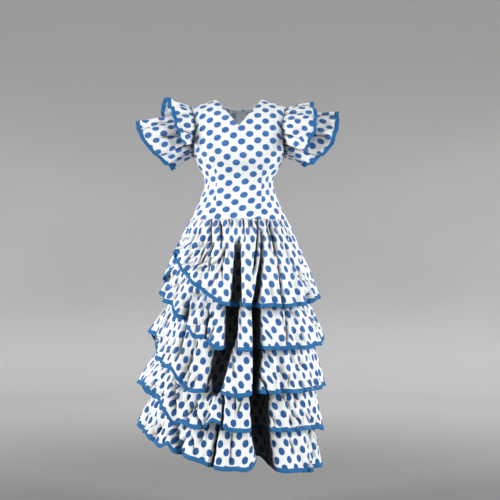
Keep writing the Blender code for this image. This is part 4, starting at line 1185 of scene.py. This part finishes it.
def build_bodice():
    """Front panel and the two back panels, stitched along the neck edge and beside the zip."""
    for word, side, count, rows in PANELS:
        points, normal, place = build_panel(word, side, count, rows)
        line, out = inset_line(points[::-1], normal[::-1], NECK_STITCH)
        neck = np.abs(line[:, 0]) < NECK_X - 0.004
        sew_white(f"neck_stitches_{word}", line[neck], out[neck])
        if side:
            inwards = -1 if abs(place[0]) > abs(place[-1]) else 1
            turned = (np.swapaxes(grid, 0, 1)[::inwards] for grid in (points, normal))
            line, out = inset_line(*turned, ZIP_STITCH)
            sew_white(f"zip_stitches_{word}", line[2:-1], out[2:-1])


# ---------------------------------------------------------------- sleeves

def armhole_point(angle, side):
    """A point on the armhole edge; 0 degrees at the shoulder, 90 in front."""
    turn = np.radians(angle)
    z = (SHOULDER_Z + ARMPIT_Z) / 2 + (SHOULDER_Z - ARMPIT_Z) / 2 * np.cos(turn)
    reach = np.where(np.sin(turn) > 0, ARMHOLE_FRONT, ARMHOLE_BACK)
    return np.stack([side * read(ARMHOLE, 1, z), -reach * np.sin(turn), z], axis=-1)


def frill_folds(name, start, end, closed):
    """Folds of a frill: the listed ones, fine gathers at its seam and some behind."""
    draw = np.random.default_rng(sum(name.encode()))
    rows = list(FRILL_CREASES[name])
    count = 54 if closed else 36
    for number in range(count):
        angle = start + (end - start) * (number + draw.uniform(0.1, 0.9)) / count
        depth = draw.uniform(0.0018, 0.0062)
        rows.append((angle, angle + draw.uniform(-6, 6), 0.0, draw.uniform(0.2, 0.75), depth, depth * 0.5,
                     draw.uniform(0.0020, 0.0034), draw.uniform(0.004, 0.007)))
    for number in range(7):
        angle = start + (end - start) * (number + draw.uniform(0.1, 0.9)) / 7
        if 20 < angle % 360 < 160:
            continue
        rows.append((angle, angle + draw.uniform(-8, 8), 0.0, 1.3, 0.006, draw.uniform(0.006, 0.012),
                     0.0045, draw.uniform(0.006, 0.010)))
    return rows


def frill_reach(drop):
    """Distance from the armhole's middle at which a frill's folds are measured."""
    return 0.09 + 0.06 * drop


def frill_surface(rows, side, table, start, end, waves, raised, period):
    """surface(share, drop) of a frill between two angles round the armhole."""
    def surface(share, drop):
        share, drop = np.broadcast_arrays(share, drop)
        angle = start + (end - start) * share
        turn = np.radians(angle)
        outward = np.stack([np.zeros_like(turn), -np.sin(turn), np.cos(turn)], axis=-1)
        root = armhole_point(angle, side) + outward * raised
        root[..., 0] += side * ARMHOLE_STEP
        out, forward, up, puff = (read(table, k, angle, period) for k in (1, 2, 3, 4))
        edge = np.stack([side * out, -forward, up], axis=-1)
        lift = (outward + 0.3 * side * ACROSS) * puff[..., None]
        fall = drop[..., None]
        points = (1 - fall)**2 * root + 2 * fall * (1 - fall) * ((root + edge) / 2 + lift) + fall**2 * edge
        axis = unit(edge - root)
        push = unit(outward - axis * np.sum(outward * axis, axis=-1, keepdims=True))
        phase = 2 * math.pi * waves * share + 0.6
        size = 1 + 0.4 * np.sin(phase / 3.3 + side)
        wave = SLEEVE_WAVE_DEPTH * size * lobed(phase, FRILL_LOBE) * np.abs(drop)
        depth = folds(rows, angle, drop, frill_reach(drop), CREASE_POWER)
        depth = np.minimum(depth, SEAM_FOLD + 0.05 * np.abs(drop))
        rumple = FRILL_RUMPLE * (crumple(*np.moveaxis(points * 24, -1, 0)) - 0.5) * ease(drop * 3)
        return points + push * (wave - depth + rumple)[..., None]

    return surface


def build_frill(name, side, table, start, end, waves, raised, columns, levels):
    """A frill with its binding, between two angles round the armhole."""
    closed = end - start == 360
    rows = frill_folds(name, start, end, closed)
    surface = frill_surface(rows, side, table, start, end, waves, raised, 360 if closed else None)
    share, total = columns_along(surface, 0.0, 1.0, columns, (0.15, 0.85), FRILL_SAMPLES)
    if closed:
        share = share[:-1]
    points, length, level, drop = strip_grid(surface, share, levels)
    angle, radius = start + (end - start) * share, frill_reach(drop)
    across = flatten(points, total, crease_weight(rows, (), angle, drop, radius), closed)
    tall = np.append(length, length[0]) if closed else length
    cut = np.stack([level * (tall - HEM_GAP), across], axis=-1)
    # Painted shade in the frill's folds and along its seam, reaching furthest under the arm.
    reach = SEAM_PAINTED_SHADE_REACH * (1 + 2.6 * np.exp(-((angle % 360 - UNDERARM_TURN) / 20)**2))
    painted_seam_shade = SEAM_PAINTED_SHADE * np.exp(-(drop * length / reach)**2)
    shade = np.maximum(painted_fold_shade(rows, (), angle, drop, radius), painted_seam_shade)
    gathered = np.clip(1 - drop / FRILL_GATHERS_END, 0.0, 1.0)
    made = add_grid(f"{name}_cloth", points, cut, closed, [COTTON, COTTON_BACK], CLOTH, flip=side > 0,
                    shade=(shade, gathered))
    binding = add_binding(f"{name}_edge", surface, share[::2], length[::2], closed, f"{name}_binding",
                          flip=side > 0)
    dress_cloth(made, [name])


def build_sleeves():
    """On each arm a sleeve frill all round the armhole and a shorter one over the shoulder."""
    for word, side in SIDES.items():
        build_frill(f"sleeve_{word}", side, SLEEVE_EDGE[word], 0.0, 360.0, SLEEVE_WAVES, 0.0, 340, 24)
        build_frill(f"shoulder_frill_{word}", side, SHOULDER_EDGE[word], -SHOULDER_REACH, SHOULDER_REACH,
                    SHOULDER_WAVES, FRILL_LAYER, 280, 20)


# ---------------------------------------------------------------- zip

def back_middle(z):
    """Points down the middle of the back at heights z, with the outward and upward directions."""
    surface = bodice_surface(False, OPENING_X)
    up = np.linspace(0.0, 1.0, 400)
    line = surface(np.zeros_like(up), up)
    line[:, 0] = 0.0
    points = np.stack([np.zeros_like(z), np.interp(z, line[:, 2], line[:, 1]), z], axis=1)
    slope = np.interp(z, line[:, 2], np.gradient(line[:, 1], line[:, 2]))
    rising = unit(np.stack([np.zeros_like(z), slope, np.ones_like(z)], axis=1))
    outward = np.cross(rising, ACROSS)
    return points, outward * np.sign(outward[:, 1:2]), rising


def add_blocks(name, blocks, bevel, finish, body):
    """Small blocks with rounded edges, joined in one mesh: each has a centre, the directions of
    its three sides and their lengths."""
    work = bmesh.new()
    for centre, axes, size in blocks:
        turn = Matrix([axis.tolist() for axis in axes]).transposed().to_4x4()
        place = Matrix.Translation(centre.tolist()) @ turn @ Matrix.Diagonal((*size, 1.0))
        bmesh.ops.create_cube(work, size=1.0, matrix=place)
    bmesh.ops.bevel(work, geom=list(work.edges), offset=bevel, segments=1, affect="EDGES")
    mesh = bpy.data.meshes.new(name)
    work.to_mesh(mesh)
    work.free()
    mesh.materials.append(finish)
    made = add_object(name, mesh)
    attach(made, body)


def build_zip_teeth():
    """Two rows of teeth that mesh below the slider and part above it."""
    z = np.arange(ZIP_LOW, BACK_NECK_Z - 0.003, ZIP_PITCH / 2)
    z = z[np.abs(z - SLIDER_Z) > SLIDER_ROOM]
    side = np.where(np.arange(len(z)) % 2 == 0, 1.0, -1.0)
    points, outward, rising = back_middle(z)
    apart = np.where(z > SLIDER_Z, TEETH_APART, TEETH_MESHED)
    centres = points + ACROSS * (side * apart)[:, None] + outward * TOOTH_LIFT
    blocks = [(centre, (ACROSS, out, up), ZIP_TOOTH) for centre, out, up in zip(centres, outward, rising)]
    add_blocks("zip_teeth", blocks, 0.00018, COIL, "dress")


def build_zip_trim():
    """The slider's nose and heel, the rivets of its hinge and the ridges on its pull."""
    low, high = (np.array(corner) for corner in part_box("zip_slider"))
    points, outward, rising = back_middle(np.array([SLIDER_Z]))
    out, up = outward[0], rising[0]
    axes = (ACROSS, out, up)
    seat = points[0] + out * SLIDER_FLOOR
    ends = [(seat + up * SLIDER_END, axes, (0.0056, 0.0016, 0.0022)),
            (seat - up * SLIDER_END, axes, (0.0044, 0.0016, 0.0016))]
    add_blocks("zip_slider_ends", ends, 0.0005, NICKEL, "dress")
    tab = np.array(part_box("zip_pull")).mean(axis=0)
    tab[0] = 0.0
    hinge = tab + up * PULL_HINGE
    half = (high[0] - low[0]) / 2
    rivets = [(hinge + ACROSS * side * half, axes, (0.0006, 0.0014, 0.0014)) for side in (-1, 1)]
    add_blocks("zip_rivets", rivets, 0.00025, NICKEL, "dress")
    ridges = [(tab - up * drop + out * face, axes, (0.0044, 0.0005, 0.0007))
              for drop in (0.0022, 0.0040, 0.0058, 0.0076) for face in (-PULL_FACE, PULL_FACE)]
    add_blocks("zip_pull_ridges", ridges, 0.00012, NICKEL, "pull")


def finish_zip():
    """Materials of the zip's CAD pieces, and the teeth and trim on them."""
    for node, finish in (("zip_chain", TAPE), ("zip_slider", NICKEL), ("zip_pull", NICKEL)):
        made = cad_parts[node]
        made.data.materials.clear()
        made.data.materials.append(finish)
    build_zip_teeth()
    build_zip_trim()


# ---------------------------------------------------------------- stage

CAMERA_PLACE = (0.0367, -4.0, -0.487)
CAMERA_LENS = 86.4
FLOOR_Z = -1.42
STAGE_RADIUS = 4.9        # of the round backdrop, which the camera stands inside from every side
STAGE_SWEEP = 1.2         # radius of its curve from the floor
STAGE_TOP = 4.0
STAGE_SIDES = 96
# Large soft lights in front on both sides and a weaker one behind: name, place, target, size, power.
LIGHTS = (
    ("key", (-3.6, -1.7, 0.5), (0.0, 0.0, -0.6), (1.2, 2.6), 199.0),
    ("fill", (3.7, -1.6, 0.4), (0.0, 0.0, -0.6), (1.2, 2.6), 177.0),
    ("back", (0.4, 3.6, 2.3), (0.4, 0.0, 0.3), (2.6, 1.6), 115.0),
)


def build_camera():
    """The photo's view: level, straight from the front."""
    camera = bpy.data.cameras.new("camera")
    camera.lens = CAMERA_LENS
    camera.sensor_width = 36.0
    made = add_object("camera", camera)
    made.location = CAMERA_PLACE
    made.rotation_euler = (math.pi / 2, 0.0, 0.0)
    bpy.context.scene.camera = made


def grey(level):
    """A colour without a hue."""
    return (level, level, level)


def build_stage():
    """A pale round floor that curves up into a plain backdrop on every side, with painted light and shade on
    its paper.
    """
    shader = Shader("backdrop_paper_painted_light", 0.9)
    place = shader.object_place()
    x, y, z = shader.split(place)
    paper_and_painted_light = shader.mix(shader.remap(shader.noise(place, 1.3), 0.3, 0.7), grey(0.50), grey(0.48))
    squares = [shader.math("MULTIPLY", axis, axis) for axis in (x, y)]
    away = shader.math("SQRT", shader.math("ADD", *squares))
    # Painted light and shade: lighter at the foot of the sweep, darker on the floor towards the middle, and
    # darker up the wall.
    paper_and_painted_light = shader.mix(shader.remap(z, FLOOR_Z + 0.2, -0.75), grey(0.58), paper_and_painted_light)
    paper_and_painted_light = shader.mix(shader.remap(away, 0.8, 4.2), grey(0.22), paper_and_painted_light)
    shader.set(Base_Color=shader.mix(shader.remap(z, -0.1, 1.0), paper_and_painted_light, grey(0.42)))
    sweep = np.linspace(0.0, math.pi / 2, 14)
    profile = [(STAGE_RADIUS - STAGE_SWEEP * (1 - math.sin(t)), FLOOR_Z + STAGE_SWEEP * (1 - math.cos(t)))
               for t in sweep] + [(STAGE_RADIUS, STAGE_TOP)]
    turns = [2 * math.pi * k / STAGE_SIDES for k in range(STAGE_SIDES)]
    points = [(reach * math.cos(t), reach * math.sin(t), height) for reach, height in profile for t in turns]
    faces = [tuple(range(STAGE_SIDES))]
    for row in range(len(profile) - 1):
        for k in range(STAGE_SIDES):
            a, b = row * STAGE_SIDES + k, row * STAGE_SIDES + (k + 1) % STAGE_SIDES
            faces.append((a, a + STAGE_SIDES, b + STAGE_SIDES, b))
    add_mesh("backdrop", points, faces, [shader.material])


def add_light(name, place, target, size, power):
    """A soft rectangular light that shines at a place."""
    light = bpy.data.lights.new(name, "AREA")
    light.shape = "RECTANGLE"
    light.size, light.size_y = size
    light.energy = power
    made = add_object(name, light)
    made.location = place
    made.rotation_euler = (Vector(target) - Vector(place)).to_track_quat("-Z", "Y").to_euler()
    made.visible_camera = False


def build_lights():
    """The lights and an even surround."""
    world = bpy.data.worlds.new("surround")
    world.use_nodes = True
    surround = world.node_tree.nodes["Background"]
    surround.inputs["Color"].default_value = (1.0, 1.0, 1.0, 1.0)
    surround.inputs["Strength"].default_value = 0.10
    bpy.context.scene.world = world
    bpy.context.scene.view_settings.view_transform = "Standard"
    for row in LIGHTS:
        add_light(*row)


build_camera()
build_foundation()
build_bodice()
for tier in range(len(FLOUNCES)):
    build_flounce(tier)
build_sleeves()
finish_zip()
build_stage()
build_lights()
